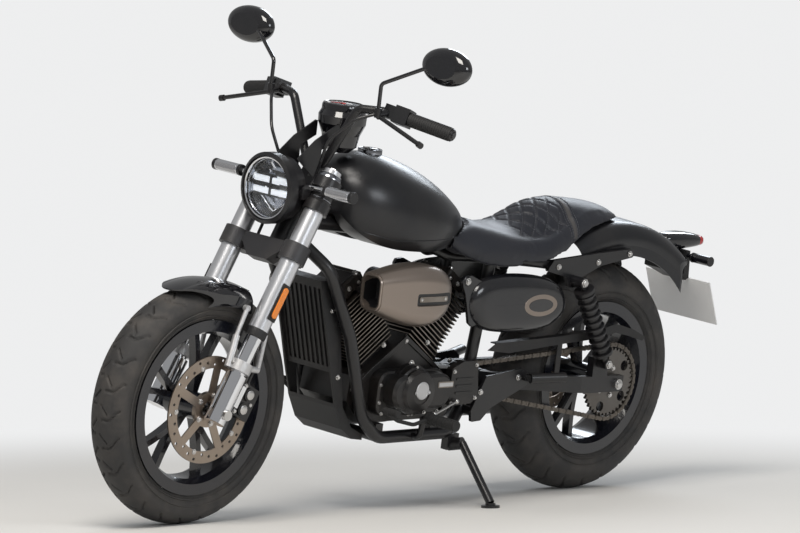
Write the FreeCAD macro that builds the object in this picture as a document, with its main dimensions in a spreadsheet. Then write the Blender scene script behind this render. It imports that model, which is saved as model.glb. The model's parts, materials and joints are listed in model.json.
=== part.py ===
"""Cruiser motorcycle with a bobber seat, standing on its side stand.

The machine is drawn upright, +X forward, +Y to its left, +Z up, in millimetres,
with the rear wheel's centre over the origin. The fork is drawn in its own raked
frame. At the end every piece gets one placement that leans the whole machine to
the left, until the foot of the side stand is on the floor.
"""
import FreeCAD, Part
import math
import os
import re

from FreeCAD import Placement, Rotation, Vector

os.makedirs("parts", exist_ok=True)
doc = FreeCAD.newDocument("Cruiser")
sheet = doc.addObject("Spreadsheet::Sheet", "Sizes")

# alias, value in millimetres or degrees, what it is
SIZES = [
    # wheels
    ("wheelbase", 1425, "between the axles"),
    ("front_tyre_radius", 299.2, "120/80-16"),
    ("front_tyre_width", 119, "front tyre, widest"),
    ("front_rim_radius", 203, "bead seat of the front rim"),
    ("front_crown", 64, "crown radius of the front tyre"),
    ("rear_tyre_radius", 310.5, "150/80-15"),
    ("rear_tyre_width", 152, "rear tyre, widest"),
    ("rear_rim_radius", 190.5, "bead seat of the rear rim"),
    ("rear_crown", 76, "crown radius of the rear tyre"),
    ("flange_rise", 17, "rim flange over the bead seat"),
    ("tyre_wall", 9, "thickness of the tyre's wall"),
    ("spoke_count", 5, "forked spokes in a wheel"),
    ("spoke_width", 15, "width of one branch of a spoke"),
    ("spoke_depth", 24, "depth of a spoke along the axle"),
    ("front_disc_radius", 134, "front brake disc"),
    ("front_disc_inner", 104, "inner radius of its friction ring"),
    ("disc_thick", 4, "brake discs"),
    ("disc_hole", 4, "radius of the holes drilled in the discs"),
    ("front_disc_y", 68, "middle of the front disc"),
    ("rear_disc_radius", 115, "rear brake disc"),
    ("rear_disc_y", -92, "middle of the rear disc"),
    ("axle_radius", 8.4, "both axles"),
    ("bore_clear", 0.6, "round the axles"),
    # stance and steering
    ("lean", 9.13, "lean to the left on the side stand, degrees"),
    ("lean_pivot", 70, "height of the lean's pivot line"),
    ("rake", 27, "steering axis from the vertical, degrees"),
    ("fork_offset", 45, "fork legs ahead of the steering axis"),
    ("leg_y", 105, "fork legs from the middle"),
    ("outer_radius", 26, "upper fork tubes"),
    ("inner_radius", 20.5, "lower, chromed fork tubes"),
    ("bottom_radius", 27, "axle carriers at the fork's ends"),
    ("lower_clamp_s", 415, "underside of the lower clamp along the axis"),
    ("lower_clamp_thick", 45, "lower clamp"),
    ("upper_clamp_s", 612, "underside of the upper clamp"),
    ("upper_clamp_thick", 28, "upper clamp"),
    ("outer_end_s", 216, "lower end of the upper tubes"),
    ("outer_top_s", 655, "top of the upper tubes"),
    ("carrier_top_s", 104, "top of the axle carriers"),
    ("stem_radius", 15, "steering stem"),
    ("fit", 0.3, "gap between pieces that touch"),
    # frame
    ("backbone_radius", 22, "backbone tube"),
    ("tube_radius", 16, "cradle tubes"),
    ("rail_radius", 13, "seat rails"),
    ("cradle_y", 104, "cradle tubes from the middle"),
    ("cradle_z", 205, "height of the cradle's lower run"),
    ("rail_z", 652, "height of the seat rails"),
    ("pivot_x", 505, "swing arm pivot"),
    ("pivot_z", 335, "height of the pivot"),
    ("head_radius", 30, "steering head tube"),
    # engine
    ("crank_x", 770, "crankshaft"),
    ("crank_z", 310, "height of the crankshaft"),
    ("block_half", 84, "half the crankcase's width"),
    ("bank_angle", 36, "each cylinder from the vertical, degrees"),
    ("cylinder_base", 125, "crankshaft to the foot of a cylinder"),
    ("cylinder_top", 352, "crankshaft to the top of a head"),
    ("fin_half", 62, "half the width of a fin"),
    ("fin_thick", 3.5, "one fin"),
    ("fin_pitch", 11, "from fin to fin"),
    ("barrel_radius", 46, "cylinder under the fins"),
    # chain
    ("chain_y", 105, "middle of the chain"),
    ("chain_width", 15, "chain"),
    ("chain_height", 14, "side plates of the chain"),
    ("rear_pitch_radius", 100, "rear sprocket, where the chain runs"),
    ("front_pitch_radius", 32, "front sprocket, where the chain runs"),
    ("front_sprocket_x", 578, "front sprocket"),
    ("front_sprocket_z", 348, "height of the front sprocket"),
    ("tooth_count", 40, "teeth of the rear sprocket"),
    ("link_pitch", 15.875, "from pin to pin of the chain"),
    # body
    ("fender_radius", 430, "rear fender's outer radius"),
    ("fender_half", 109, "half the rear fender's width"),
    ("fender_skirt", 90, "depth of the rear fender's sides"),
    ("tail_angle", 37.5, "tail light on the rear fender, degrees behind its top"),
    ("sheet_thick", 3, "fender sheets"),
    ("front_fender_gap", 14, "front tyre to fender"),
    ("front_fender_half", 66, "half the front fender's width"),
    ("lamp_x", 1250, "front plane of the headlight"),
    ("lamp_z", 834, "height of the headlight"),
    ("lamp_radius", 89, "headlight's rim"),
    ("bar_radius", 11, "handlebar tube"),
    ("cable_radius", 4, "control cables and brake hose"),
    ("grip_radius", 17, "grips"),
    ("shock_y", 158, "shock absorbers from the middle"),
    ("strut_thick", 12, "plates that carry the rear fender"),
    ("strut_y", 118, "inner face of those plates"),
    ("muffler_radius", 46, "muffler"),
    ("pipe_radius", 19, "exhaust pipes"),
    ("pipe_y", -142, "exhaust pipes from the middle"),
    ("pipe_z", 222, "height of the pipes' lower run"),
    ("stand_radius", 11, "leg of the side stand"),
]
for row, (alias, value, note) in enumerate(SIZES, start=1):
    sheet.set(f"A{row}", note)
    sheet.set(f"B{row}", str(value))
    sheet.setAlias(f"B{row}", alias)
doc.recompute()
WORDS = {alias for alias, value, note in SIZES}


class Reader:
    """Reads a size from the sheet by its name."""

    def __getattr__(self, name):
        return float(sheet.get(name))


v = Reader()


def formula(text):
    """An expression of the document from one written in the sizes' names."""
    return re.sub(r"[a-z_]+", lambda m: "Sizes." + m[0] if m[0] in WORDS else m[0], text)


def bind(obj, **values):
    """Sets each property to a number, or binds it to the sheet."""
    for name, value in values.items():
        if isinstance(value, str):
            obj.setExpression(name, formula(value))
        else:
            setattr(obj, name, value)
    return obj


def put(obj, at, rotation=None):
    """Places an object, each coordinate a number or an expression."""
    numbers = [value if not isinstance(value, str) else 0 for value in at]
    obj.Placement = Placement(Vector(*numbers), rotation or Rotation())
    for axis, value in zip("xyz", at):
        if isinstance(value, str):
            obj.setExpression(f"Placement.Base.{axis}", formula(value))
    return obj


def block(name, length, width, height, at, rotation=None):
    obj = doc.addObject("Part::Box", name)
    bind(obj, Length=length, Width=width, Height=height)
    return put(obj, at, rotation)


TO_Y = Rotation(Vector(1, 0, 0), -90)
TO_X = Rotation(Vector(0, 1, 0), 90)


def rod(name, radius, height, at, rotation=None):
    """A cylinder from its start point, along +Z unless it is turned."""
    obj = doc.addObject("Part::Cylinder", name)
    bind(obj, Radius=radius, Height=height)
    return put(obj, at, rotation)


def rod_between(name, radius, start, end):
    run = Vector(*end) - Vector(*start)
    return rod(name, radius, run.Length, start, Rotation(Vector(0, 0, 1), run))


def join(name, *pieces):
    obj = doc.addObject("Part::MultiFuse", name)
    obj.Shapes = list(pieces)
    return obj


def carve(name, base, *tools):
    obj = doc.addObject("Part::Cut", name)
    obj.Base = base
    obj.Tool = tools[0] if len(tools) == 1 else join(name + "_tools", *tools)
    return obj


def common(name, *pieces):
    obj = doc.addObject("Part::MultiCommon", name)
    obj.Shapes = list(pieces)
    return obj


def mirror(name, source):
    obj = doc.addObject("Part::Mirroring", name)
    obj.Source = source
    obj.Normal = Vector(0, 1, 0)
    return obj


def both(name, source):
    """The piece on the left and its mirror image on the right."""
    return join(name, source, mirror(name + "_right", source))


def shape(name, solid):
    """A piece whose form only the kernel's own functions give."""
    obj = doc.addObject("Part::Feature", name)
    obj.Shape = solid
    return obj


def rounded(points, bend):
    """A path of straight runs with one tangent arc of radius bend at each corner."""
    corners = [Vector(*point) for point in points]
    edges = []
    last = corners[0]
    for before, corner, after in zip(corners, corners[1:], corners[2:]):
        back = (before - corner).normalize()
        ahead = (after - corner).normalize()
        half = back.getAngle(ahead) / 2
        reach = min(bend / math.tan(half), 0.48 * (before - corner).Length,
                    0.48 * (after - corner).Length)
        radius = reach * math.tan(half)
        middle = (back + ahead).normalize()
        centre = corner + middle * (radius / math.sin(half))
        start = corner + back * reach
        end = corner + ahead * reach
        edges.append(Part.LineSegment(last, start).toShape())
        edges.append(Part.Arc(start, centre - middle * radius, end).toShape())
        last = end
    edges.append(Part.LineSegment(last, corners[-1]).toShape())
    return Part.Wire(edges)


def pipe(name, radius, points, bend=40):
    """A bent tube: a circle of the sheet's size swept along a rounded path."""
    path = shape(name + "_path", rounded(points, bend))
    circle = doc.addObject("Part::Circle", name + "_circle")
    bind(circle, Radius=radius)
    run = Vector(*points[1]) - Vector(*points[0])
    circle.Placement = Placement(Vector(*points[0]), Rotation(Vector(0, 0, 1), run))
    sweep = doc.addObject("Part::Sweep", name)
    sweep.Sections = [circle]
    sweep.Spine = (path, [f"Edge{n}" for n in range(1, len(path.Shape.Edges) + 1)])
    sweep.Solid = True
    return sweep


def outline(points, closed=True):
    """A polygon's wire in the XZ plane, from (x, z) pairs."""
    corners = [Vector(x, 0, z) for x, z in points]
    return Part.makePolygon(corners + corners[:1] if closed else corners)


def plate(name, points, y, thick, corner=0):
    """A flat piece with that outline in XZ, from y for its thickness towards +Y."""
    wire = outline(points)
    solid = Part.Face(wire).extrude(Vector(0, thick, 0))
    if corner:
        upright = [edge for edge in solid.Edges
                   if abs(edge.Vertexes[0].Point.y - edge.Vertexes[-1].Point.y) > thick / 2]
        solid = solid.makeFillet(corner, upright)
    solid.translate(Vector(0, y, 0))
    return shape(name, solid)


def bevelled(name, points, y, thick, corner, edge):
    """A plate with a chamfer of that size round its outer face."""
    obj = plate(name, points, y, thick, corner)
    front = max(obj.Shape.Faces, key=lambda face: face.CenterOfMass.y)
    obj.Shape = obj.Shape.makeChamfer(edge, front.Edges)
    return obj


def turned(name, profile, centre, sweep=360.0, start=0.0):
    """A solid of revolution about the Y axis through centre, from (radius, y) pairs.

    An entry with four numbers is an arc: the middle point, then its end."""
    edges = []
    first = last = Vector(profile[0][0], profile[0][1], 0)
    for entry in list(profile[1:]) + [profile[0]]:
        end = Vector(entry[-2], entry[-1], 0)
        if len(entry) == 4:
            middle = Vector(entry[0], entry[1], 0)
            edges.append(Part.Arc(last, middle, end).toShape())
        elif (end - last).Length > 1e-6:
            edges.append(Part.LineSegment(last, end).toShape())
        last = end
    face = Part.Face(Part.Wire(edges))
    solid = face.revolve(Vector(0, 0, 0), Vector(0, 1, 0), sweep)
    solid.rotate(Vector(0, 0, 0), Vector(0, 1, 0), start)
    solid.translate(Vector(*centre))
    return shape(name, solid)


REAR_HUB = (0, 0, v.rear_tyre_radius)
FRONT_HUB = (v.fork_offset, 0, 0)

# placements of the pieces
lean = Rotation(Vector(1, 0, 0), -v.lean)
pivot = Vector(0, 0, v.lean_pivot)
LEAN = Placement(pivot - lean.multVec(pivot), lean)
RAKE = Rotation(Vector(0, 1, 0), -v.rake)
axle = Vector(v.wheelbase, 0, v.front_tyre_radius)
HEAD = Placement(axle - RAKE.multVec(Vector(v.fork_offset, 0, 0)), RAKE)


def head_point(forward, along):
    """Where a point of the raked frame is in the upright machine, as (x, z)."""
    point = HEAD.multVec(Vector(forward, 0, along))
    return point.x, point.z


PARTS = []


def finish(node, obj, raked=False):
    """Keeps a piece under its node's name."""
    obj.Label = node
    PARTS.append((node, obj, raked))


# wheels


def tyre(name, hub, radius, width, rim, crown):
    """A tyre of even wall with its beads on the rim, open towards the rim."""
    half = width / 2
    wall = v.tyre_wall
    rise = crown - math.sqrt(crown ** 2 - (half - 4) ** 2)
    shoulder = radius - rise
    bead = rim + v.flange_rise
    foot = half * 0.74
    outer = [(bead, -foot), (0.5 * (bead + shoulder) - 4, -half, shoulder, -half + 4),
             (radius, 0, shoulder, half - 4), (0.5 * (bead + shoulder) - 4, half, bead, foot)]
    inner = [(rim + 1, foot), (rim + 1, foot - wall), (bead, foot - wall),
             (0.5 * (bead + shoulder) - 4, half - wall, shoulder - wall, half - wall - 6),
             (radius - wall, 0, shoulder - wall, wall + 6 - half),
             (0.5 * (bead + shoulder) - 4, wall - half, bead, wall - foot),
             (rim + 1, wall - foot), (rim + 1, -foot)]
    return turned(name, outer + inner, hub)


def wheel(name, hub, rim, foot, hub_half):
    """A cast wheel: rim with flanges and well, hub, and forked curved spokes."""
    seat = rim - v.fit
    flange = rim + v.flange_rise - 1
    barrel = turned(name + "_barrel", [
        (rim - 12, -foot - 5), (flange, -foot - 5), (flange, -foot - v.fit), (seat, -foot - v.fit),
        (seat, -foot + 12), (rim - 14, -foot + 20), (rim - 14, foot - 20), (seat, foot - 12),
        (seat, foot + v.fit), (flange, foot + v.fit), (flange, foot + 5), (rim - 12, foot + 5),
        (rim - 22, foot - 16), (rim - 22, 16 - foot)], hub)
    core = rod(name + "_core", 34, 2 * hub_half, (hub[0], -hub_half, hub[2]), TO_Y)
    arms = []
    turns = int(v.spoke_count)
    for n in range(turns):
        for side in (-1, 1):
            start = Vector(26, 0, 0)
            fork = Vector(0.5 * rim, side * 13, 0)
            end = Vector(rim - 18, side * 43, 0)
            arm = Part.Wire(Part.Arc(start, fork, end).toShape())
            depth = v.spoke_depth
            flat = Part.makePolygon([start + Vector(0, a, b) for a, b in (
                (-v.spoke_width / 2, -depth / 2), (v.spoke_width / 2, -depth / 2),
                (v.spoke_width / 2, depth / 2), (-v.spoke_width / 2, depth / 2),
                (-v.spoke_width / 2, -depth / 2))])
            solid = arm.makePipeShell([flat], True, False)
            solid.rotate(Vector(), Vector(0, 0, 1), 360 / turns * n)
            solid.rotate(Vector(), Vector(1, 0, 0), 90)
            solid.translate(Vector(*hub))
            arms.append(shape(f"{name}_arm_{n}_{side + 1}", solid))
    body = join(name + "_body", barrel, core, *arms)
    bore = rod(name + "_bore", "axle_radius + bore_clear", 2 * hub_half + 20,
               (hub[0], -hub_half - 10, hub[2]), TO_Y)
    return carve(name, body, bore)


def disc(name, hub, y, outer, inner, bolt_face):
    """A drilled friction ring on a carrier with arms, bolted to the hub's end."""
    half = v.disc_thick / 2
    ring = turned(name + "_ring", [(inner, y - half), (outer, y - half), (outer, y + half),
                                   (inner, y + half)], hub)
    holes = []
    for n in range(30):
        # the holes step outwards and back in threes
        reach = inner + (outer - inner) * (0.28 + 0.22 * (n % 3))
        hole = Part.makeCylinder(v.disc_hole, 20, Vector(reach, y - 10, 0), Vector(0, 1, 0))
        hole.rotate(Vector(), Vector(0, 1, 0), 12 * n + 6)
        hole.translate(Vector(*hub))
        holes.append(shape(f"{name}_hole_{n}", hole))
    ring = carve(name + "_drilled", ring, *holes)
    arms = []
    for n in range(5):
        arm = Part.makeBox(inner + 6 - 30, 22, v.disc_thick, Vector(30, -11, -half))
        arm.rotate(Vector(), Vector(0, 0, 1), 72 * n)
        arm.rotate(Vector(), Vector(1, 0, 0), 90)
        arm.translate(Vector(hub[0], y, hub[2]))
        arms.append(shape(f"{name}_arm_{n}", arm))
    low, high = sorted((bolt_face, y + math.copysign(half, y)))
    carrier = turned(name + "_carrier", [(20, low), (44, low), (44, high), (20, high)], hub)
    return join(name, ring, carrier, *arms)


front_foot = v.front_tyre_width / 2 * 0.74
rear_foot = v.rear_tyre_width / 2 * 0.74
front_hub_half = 58
rear_hub_half = 84

finish("front_tyre", tyre("FrontTyre", FRONT_HUB, v.front_tyre_radius, v.front_tyre_width,
                          v.front_rim_radius, v.front_crown), True)
finish("front_rim", wheel("FrontWheel", FRONT_HUB, v.front_rim_radius, front_foot,
                            front_hub_half), True)
finish("front_disc", disc("FrontDisc", FRONT_HUB, v.front_disc_y, v.front_disc_radius,
                          v.front_disc_inner, front_hub_half), True)
finish("rear_tyre", tyre("RearTyre", REAR_HUB, v.rear_tyre_radius, v.rear_tyre_width,
                         v.rear_rim_radius, v.rear_crown))
finish("rear_rim", wheel("RearWheel", REAR_HUB, v.rear_rim_radius, rear_foot, rear_hub_half))
finish("rear_disc", disc("RearDisc", REAR_HUB, v.rear_disc_y, v.rear_disc_radius, 85,
                         -rear_hub_half))

# rear sprocket, its teeth 1 mm inside the chain
tooth_tip = v.rear_pitch_radius - v.chain_height / 2 - 1


def toothed(name, tip, count, centre):
    """A sprocket's disc in the chain's plane: each tooth has a narrow tip and a round-bottomed gap."""
    points = []
    for n in range(count):
        for share, depth in ((-0.12, 0), (0.12, 0), (0.33, 6), (0.5, 7.5), (0.67, 6)):
            angle = 2 * math.pi * (n + share) / count
            points.append((centre[0] + (tip - depth) * math.cos(angle),
                           centre[2] + (tip - depth) * math.sin(angle)))
    return plate(name, points, v.chain_y - 4, 8)


sprocket_disc = carve("SprocketDisc", toothed("SprocketTeeth", tooth_tip, int(v.tooth_count), REAR_HUB), rod(
    "SprocketEye", 20, 30, (0, "chain_y - 15", "rear_tyre_radius"), TO_Y))
sprocket_boss = turned("SprocketBoss", [(20, rear_hub_half), (50, rear_hub_half),
                                        (50, v.chain_y - 4), (20, v.chain_y - 4)], REAR_HUB)
windows = []
for n in range(5):
    hole = Part.makeCylinder(14, 20, Vector(70, v.chain_y - 10, 0), Vector(0, 1, 0))
    hole.rotate(Vector(), Vector(0, 1, 0), 72 * n)
    hole.translate(Vector(*REAR_HUB))
    windows.append(shape(f"SprocketWindow{n}", hole))
finish("rear_sprocket", carve("RearSprocket", join("SprocketBody", sprocket_disc, sprocket_boss),
                              *windows))

# axles
finish("front_axle", join(
    "FrontAxle",
    rod("FrontAxleRod", "axle_radius", "2 * (leg_y + bottom_radius) + 2",
        ("fork_offset", "-leg_y - bottom_radius - 1", 0), TO_Y),
    rod("FrontAxleHead", 13, 8, ("fork_offset", "leg_y + bottom_radius + fit", 0), TO_Y),
    rod("FrontAxleNut", 13, 8, ("fork_offset", "-leg_y - bottom_radius - fit - 8", 0), TO_Y)), True)
ARM_OUT = 138
finish("rear_axle", join(
    "RearAxle",
    rod("RearAxleRod", "axle_radius", 2 * ARM_OUT + 2, (0, -ARM_OUT - 1, "rear_tyre_radius"), TO_Y),
    rod("RearAxleHead", 14, 9, (0, ARM_OUT + v.fit, "rear_tyre_radius"), TO_Y),
    rod("RearAxleNut", 14, 9, (0, -ARM_OUT - v.fit - 9, "rear_tyre_radius"), TO_Y)))

# fork and clamps, in the raked frame


def clamp(name, low, thick, leg_round, middle_round):
    """A fork clamp: rounds at the legs and the stem, joined by a waisted bridge."""
    leg = rod(name + "_leg", leg_round, thick, ("fork_offset", "leg_y", low))
    rounds = both(name + "_legs", leg)
    middle = rod(name + "_middle", middle_round, thick, (0, 0, low))
    bridge = block(name + "_bridge", leg_round + 4, "2 * leg_y", thick,
                   (f"fork_offset - {leg_round} - 8", "-leg_y", low))
    web = block(name + "_web", 34, 60, thick, (-4, -30, low))
    bore = both(name + "_bores", rod(name + "_bore", "outer_radius + fit", f"{thick} + 20",
                                     ("fork_offset", "leg_y", f"{low} - 10")))
    return join(name + "_solid", rounds, middle, bridge, web), bore


lower, lower_bore = clamp("LowerClamp", "lower_clamp_s", "lower_clamp_thick", 35, 32)
stem = rod("Stem", "stem_radius", "upper_clamp_s - fit - lower_clamp_s",
           (0, 0, "lower_clamp_s"))
# its front face drops to a blunt point between the legs
BROW = [(-72, 0), (-72, -24), (-34, -58), (34, -58), (72, -24), (72, 0)]
brow_top = v.lower_clamp_s + v.lower_clamp_thick
brow = Part.Face(Part.makePolygon([Vector(0, y, brow_top + s) for y, s in BROW + BROW[:1]]))
brow = brow.extrude(Vector(32, 0, 0))
brow.translate(Vector(v.fork_offset - 21, 0, 0))
finish("lower_clamp", join("LowerClampNode", carve("LowerClampCut", join(
    "LowerClampBrow", lower, shape("Brow", brow)), lower_bore), stem), True)
upper, upper_bore = clamp("UpperClamp", "upper_clamp_s", "upper_clamp_thick", 35, 28)
stem_nut = rod("StemNut", 17, 10, (0, 0, "upper_clamp_s + upper_clamp_thick"))

outer_tube = rod("OuterTube", "outer_radius", "outer_top_s - outer_end_s",
                 ("fork_offset", "leg_y", "outer_end_s"))
outer_cap = rod("OuterCap", "outer_radius - 4", 10, ("fork_offset", "leg_y", "outer_top_s"))
outer_bore = rod("OuterBore", "inner_radius + fit", 40, ("fork_offset", "leg_y", "outer_end_s - 1"))
finish("fork_upper_tubes", both("ForkUpperTubes", carve(
    "ForkUpperTube", join("OuterTubeCap", outer_tube, outer_cap), outer_bore)), True)

inner_tube = rod("InnerTube", "inner_radius", "outer_end_s + 38 - carrier_top_s",
                 ("fork_offset", "leg_y", "carrier_top_s"))
carrier = rod("Carrier", "bottom_radius", "carrier_top_s + 26", ("fork_offset", "leg_y", -26))
carrier_bore = rod("CarrierBore", "axle_radius + fit", 80, ("fork_offset", "leg_y - 40", 0), TO_Y)
caliper_lug = block("CaliperLug", 40, 20, 56, (-12, "leg_y - 25", 36))
left_leg = carve("LeftLeg", join("LeftLegBody", inner_tube, carrier, caliper_lug), carrier_bore)
right_leg = mirror("RightLeg", carve("RightLegCut", join("RightLegBody", inner_tube, carrier),
                                     carrier_bore))
finish("fork_lower_tubes", join("ForkLowerTubes", left_leg, right_leg), True)

# front caliper, straddling the disc
caliper = join("CaliperForm", block("CaliperBlock", 62, 36, 84, ("-12 - fit - 62", "front_disc_y - 18", 22)),
               *[rod(f"CaliperPot{n}", 17, 48, (-42, "front_disc_y - 24", s), TO_Y)
                 for n, s in enumerate((44, 84))])
HOSE = [(10, 30, v.lower_clamp_s - 13.3), (10, 30, 366), (6, 84, 336), (2, 84, 190), (-34, 74, 150),
        (-34, 74, 100)]
disc_slot = rod("DiscSlot", "front_disc_radius + 5", 14, ("fork_offset", "front_disc_y - 7", 0), TO_Y)
finish("front_caliper", join("CaliperAndHose", carve("FrontCaliper", caliper, disc_slot),
                             pipe("BrakeHose", "cable_radius", HOSE, 30)), True)

# front fender with its stays
fender_in = v.front_tyre_radius + v.front_fender_gap
fender_out = fender_in + v.sheet_thick
fh = v.front_fender_half
front_fender = turned("FrontFenderShell", [
    (fender_in - 56, -fh), (fender_in - 14, -fh + 8, fender_in - 4, -fh + 30),
    (fender_in, 0, fender_in - 4, fh - 30), (fender_in - 14, fh - 8, fender_in - 56, fh),
    (fender_in - 56, fh + v.sheet_thick),
    (fender_out - 13, fh - 5, fender_out - 4, fh - 30),
    (fender_out, 0, fender_out - 4, 30 - fh),
    (fender_out - 13, 5 - fh, fender_in - 56, -fh - v.sheet_thick)],
    FRONT_HUB, 56, -92)
# the fender's plan runs to a rounded point in front
nose_plan = Part.Face(Part.Wire(Part.Ellipse(Vector(1412, 0, 0), 132, fh + 6).toShape()))
nose_plan = nose_plan.extrude(Vector(0, 0, 800)).fuse(
    Part.makeBox(100, 2 * fh + 12, 800, Vector(1316, -fh - 6, 0)))
nose_plan.Placement = HEAD.inverse()
finish("front_fender", common("FrontFender", front_fender, shape("FenderPlanFront", nose_plan)), True)


def in_head(x, y, z):
    """A point of the upright machine in the raked frame."""
    return tuple(HEAD.inverse().multVec(Vector(x, y, z)))


# cast stays from the stanchions to the front fender
stay_y = fh + v.sheet_thick + 3.4
stay_ring = rod("StayRing", 29.5, 26, ("fork_offset", "leg_y", 112))
stay_front = [in_head(1402, 96, 412), in_head(1372, 84, 486), in_head(1342, stay_y + 8, 551)]
stay_rear = [in_head(1306, 104, 400), in_head(1292, 104, 487)]
stay = join("Stay", stay_ring, rod_between("StayFoot", 9, stay_front[0], stay_front[1]),
            rod_between("StayArm", 6, stay_front[1], stay_front[2]),
            rod_between("StayBolt", 8, in_head(1342, stay_y, 551), in_head(1342, stay_y + 12, 551)),
            rod_between("StayBack", 6, stay_rear[0], stay_rear[1]),
            rod_between("StayLink", 8, in_head(1340, 104, 405), stay_rear[0]))
stay_bore = rod("StayBore", "inner_radius + fit", 120, ("fork_offset", "leg_y", 70))
finish("fender_stays", both("FenderStays", carve("StayCut", stay, stay_bore)), True)

# reflectors on the outer sides of the upper tubes
finish("fork_reflectors", both("ForkReflectors", block(
    "ForkReflector", 24, 6, 88, ("fork_offset - 12", "leg_y + outer_radius + fit", 262))), True)

# headlight: bowl, glass and ears, facing forward
LAMP = (v.lamp_x, 0, v.lamp_z)


def lamp_turned(name, profile):
    """A solid of revolution about the headlight's axis, from (radius, back) pairs."""
    points = [Vector(-back, 0, radius) for radius, back in profile]
    face = Part.Face(Part.makePolygon(points + points[:1]))
    solid = face.revolve(Vector(0, 0, 0), Vector(1, 0, 0), 360)
    solid.translate(Vector(*LAMP))
    return shape(name, solid)


r = v.lamp_radius
bowl = lamp_turned("LampBowl", [(r - 9, 0), (r, 5), (r, 30), (r - 7, 34), (r - 9, 64), (r - 21, 70),
                                (46, 82), (30, 90), (0, 93), (0, 85), (42, 76), (r - 30, 62), (r - 17, 52),
                                (r - 16, 14), (r - 9, 10)])
ear_boss = both("EarBosses", rod("EarBoss", 10, 8.5, ("lamp_x - 50", "lamp_radius - 10", "lamp_z"), TO_Y))
finish("headlight_bowl", join("HeadlightBowl", bowl, ear_boss))
glass = lamp_turned("LampGlass", [(0, 2), (r - 40, 4), (r - 16.4, 13), (r - 16.4, 20), (0, 20)])
finish("headlight_lens", glass)

ear_ring = rod("EarRing", "outer_radius + 7", 26, (0, 0, 0))
ear_bore = rod("EarBore", "outer_radius + fit", 120, (0, 0, 0))
for obj, along in ((ear_ring, 552), (ear_bore, 500)):
    obj.Placement = HEAD.multiply(Placement(Vector(v.fork_offset, v.leg_y, along), Rotation()))
ear_x, ear_z = head_point(v.fork_offset + v.outer_radius + 3, 565)
signal_x, signal_z = head_point(82, 600)
ear_arm = plate("EarArm", [(ear_x - 8, ear_z - 12), (v.lamp_x - 60, v.lamp_z - 14),
                           (v.lamp_x - 40, v.lamp_z - 14), (v.lamp_x - 40, v.lamp_z + 14),
                           (signal_x + 12, signal_z + 6), (signal_x - 8, signal_z + 6),
                           (ear_x - 8, ear_z + 16)], v.lamp_radius - 1.2, 5)
finish("headlight_bracket", both("HeadlightBracket", carve("Ear", join("EarBody", ear_ring, ear_arm),
                                                           ear_bore)))

# handlebar, grips, perches, levers, mirrors
GRIP_IN = Vector(1021, 247, 1044)
GRIP_END = Vector(987, 359, 1025)
grip_way = (GRIP_END - GRIP_IN).normalize()
BAR = [(1085, 0, 893), (1085, 27, 893), (1070, 114, 1050), tuple(GRIP_IN - grip_way * 62),
       tuple(GRIP_END)]
left_bar = pipe("LeftBar", "bar_radius", BAR, 26)
end_bore = rod_between("EndBore", 8, tuple(GRIP_END - grip_way * 40), tuple(GRIP_END + grip_way * 5))
bar_half = carve("BarHalf", left_bar, end_bore)
finish("handlebar", both("Handlebar", bar_half))
grip = carve("LeftGrip", rod_between("GripRod", "grip_radius", tuple(GRIP_IN), tuple(GRIP_END)),
             rod_between("GripBore", "bar_radius + fit", tuple(GRIP_IN - grip_way * 5),
                         tuple(GRIP_END + grip_way * 5)))
finish("grips", both("Grips", grip))

bar_f, bar_y, bar_s = in_head(*BAR[0])
riser = block("Riser", 38, 28, f"{bar_s + 16} - upper_clamp_s - upper_clamp_thick",
              (bar_f - 19, -14, "upper_clamp_s + upper_clamp_thick"))
riser_bore = rod("RiserBore", "bar_radius + fit", 160, (bar_f, -80, bar_s), TO_Y)
finish("upper_clamp", join("UpperClampNode", carve("UpperClampCut", upper, upper_bore), stem_nut,
                           carve("RiserCut", riser, riser_bore)), True)

to_grip = Rotation(Vector(0, 0, 1), grip_way)
perch_at = GRIP_IN - grip_way * 46


def on_bar(name, obj, along, start=GRIP_IN):
    """Places a piece that was drawn along +Z on the bar's end."""
    obj.Placement = Placement(start + grip_way * along, to_grip)
    return obj


switch_box = on_bar("SwitchBox", block("SwitchBox", 40, 44, 40, (0, 0, 0)), -41.5)
switch_box.Placement = Placement(GRIP_IN - grip_way * 41.5 + Vector(-2, 0, 0), to_grip).multiply(
    Placement(Vector(-20, -22, 0), Rotation()))
bar_space = pipe("BarSpace", "bar_radius + fit", BAR, 26)
switch_housing = carve("SwitchHousing", switch_box, bar_space)

doc.recompute()

# frame of tubes
head_low = v.lower_clamp_s + v.lower_clamp_thick + v.fit
head_tube = rod("HeadTube", "head_radius", "upper_clamp_s - fit - lower_clamp_s - lower_clamp_thick - fit",
                (0, 0, head_low))
head_bore = rod("HeadBore", "stem_radius + fit", 300, (0, 0, head_low - 50))
for obj, along in ((head_tube, head_low), (head_bore, head_low - 50)):
    obj.Placement = HEAD.multiply(Placement(Vector(0, 0, along), Rotation()))
neck_x, neck_z = head_point(-10, 540)
BACKBONE = [(neck_x, 0, neck_z), (720, 0, 712), (640, 0, 670)]
backbone = pipe("Backbone", "backbone_radius", BACKBONE, 120)
low_x, low_z = head_point(-8, 500)
CRADLE = [(low_x, 16, low_z), (1092, 104, 642), (995, 104, 470), (922, 104, 262),
          (860, 104, v.cradle_z), (600, 104, v.cradle_z), (v.pivot_x + 20, 70, 262),
          (v.pivot_x, 70, 400), (480, 75, v.rail_z - 7)]
cradle = pipe("Cradle", "tube_radius", CRADLE, 70)
RAIL = [(655, 6, 676), (600, 40, v.rail_z), (480, 75, v.rail_z), (330, 104.7, v.rail_z - 12),
        (205, 104.7, 625)]
rail = pipe("Rail", "rail_radius", RAIL, 50)
pivot_plate = block("PivotPlate", 44, 32, 50, ("pivot_x - 22", 54, "pivot_z - 25"))
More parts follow.
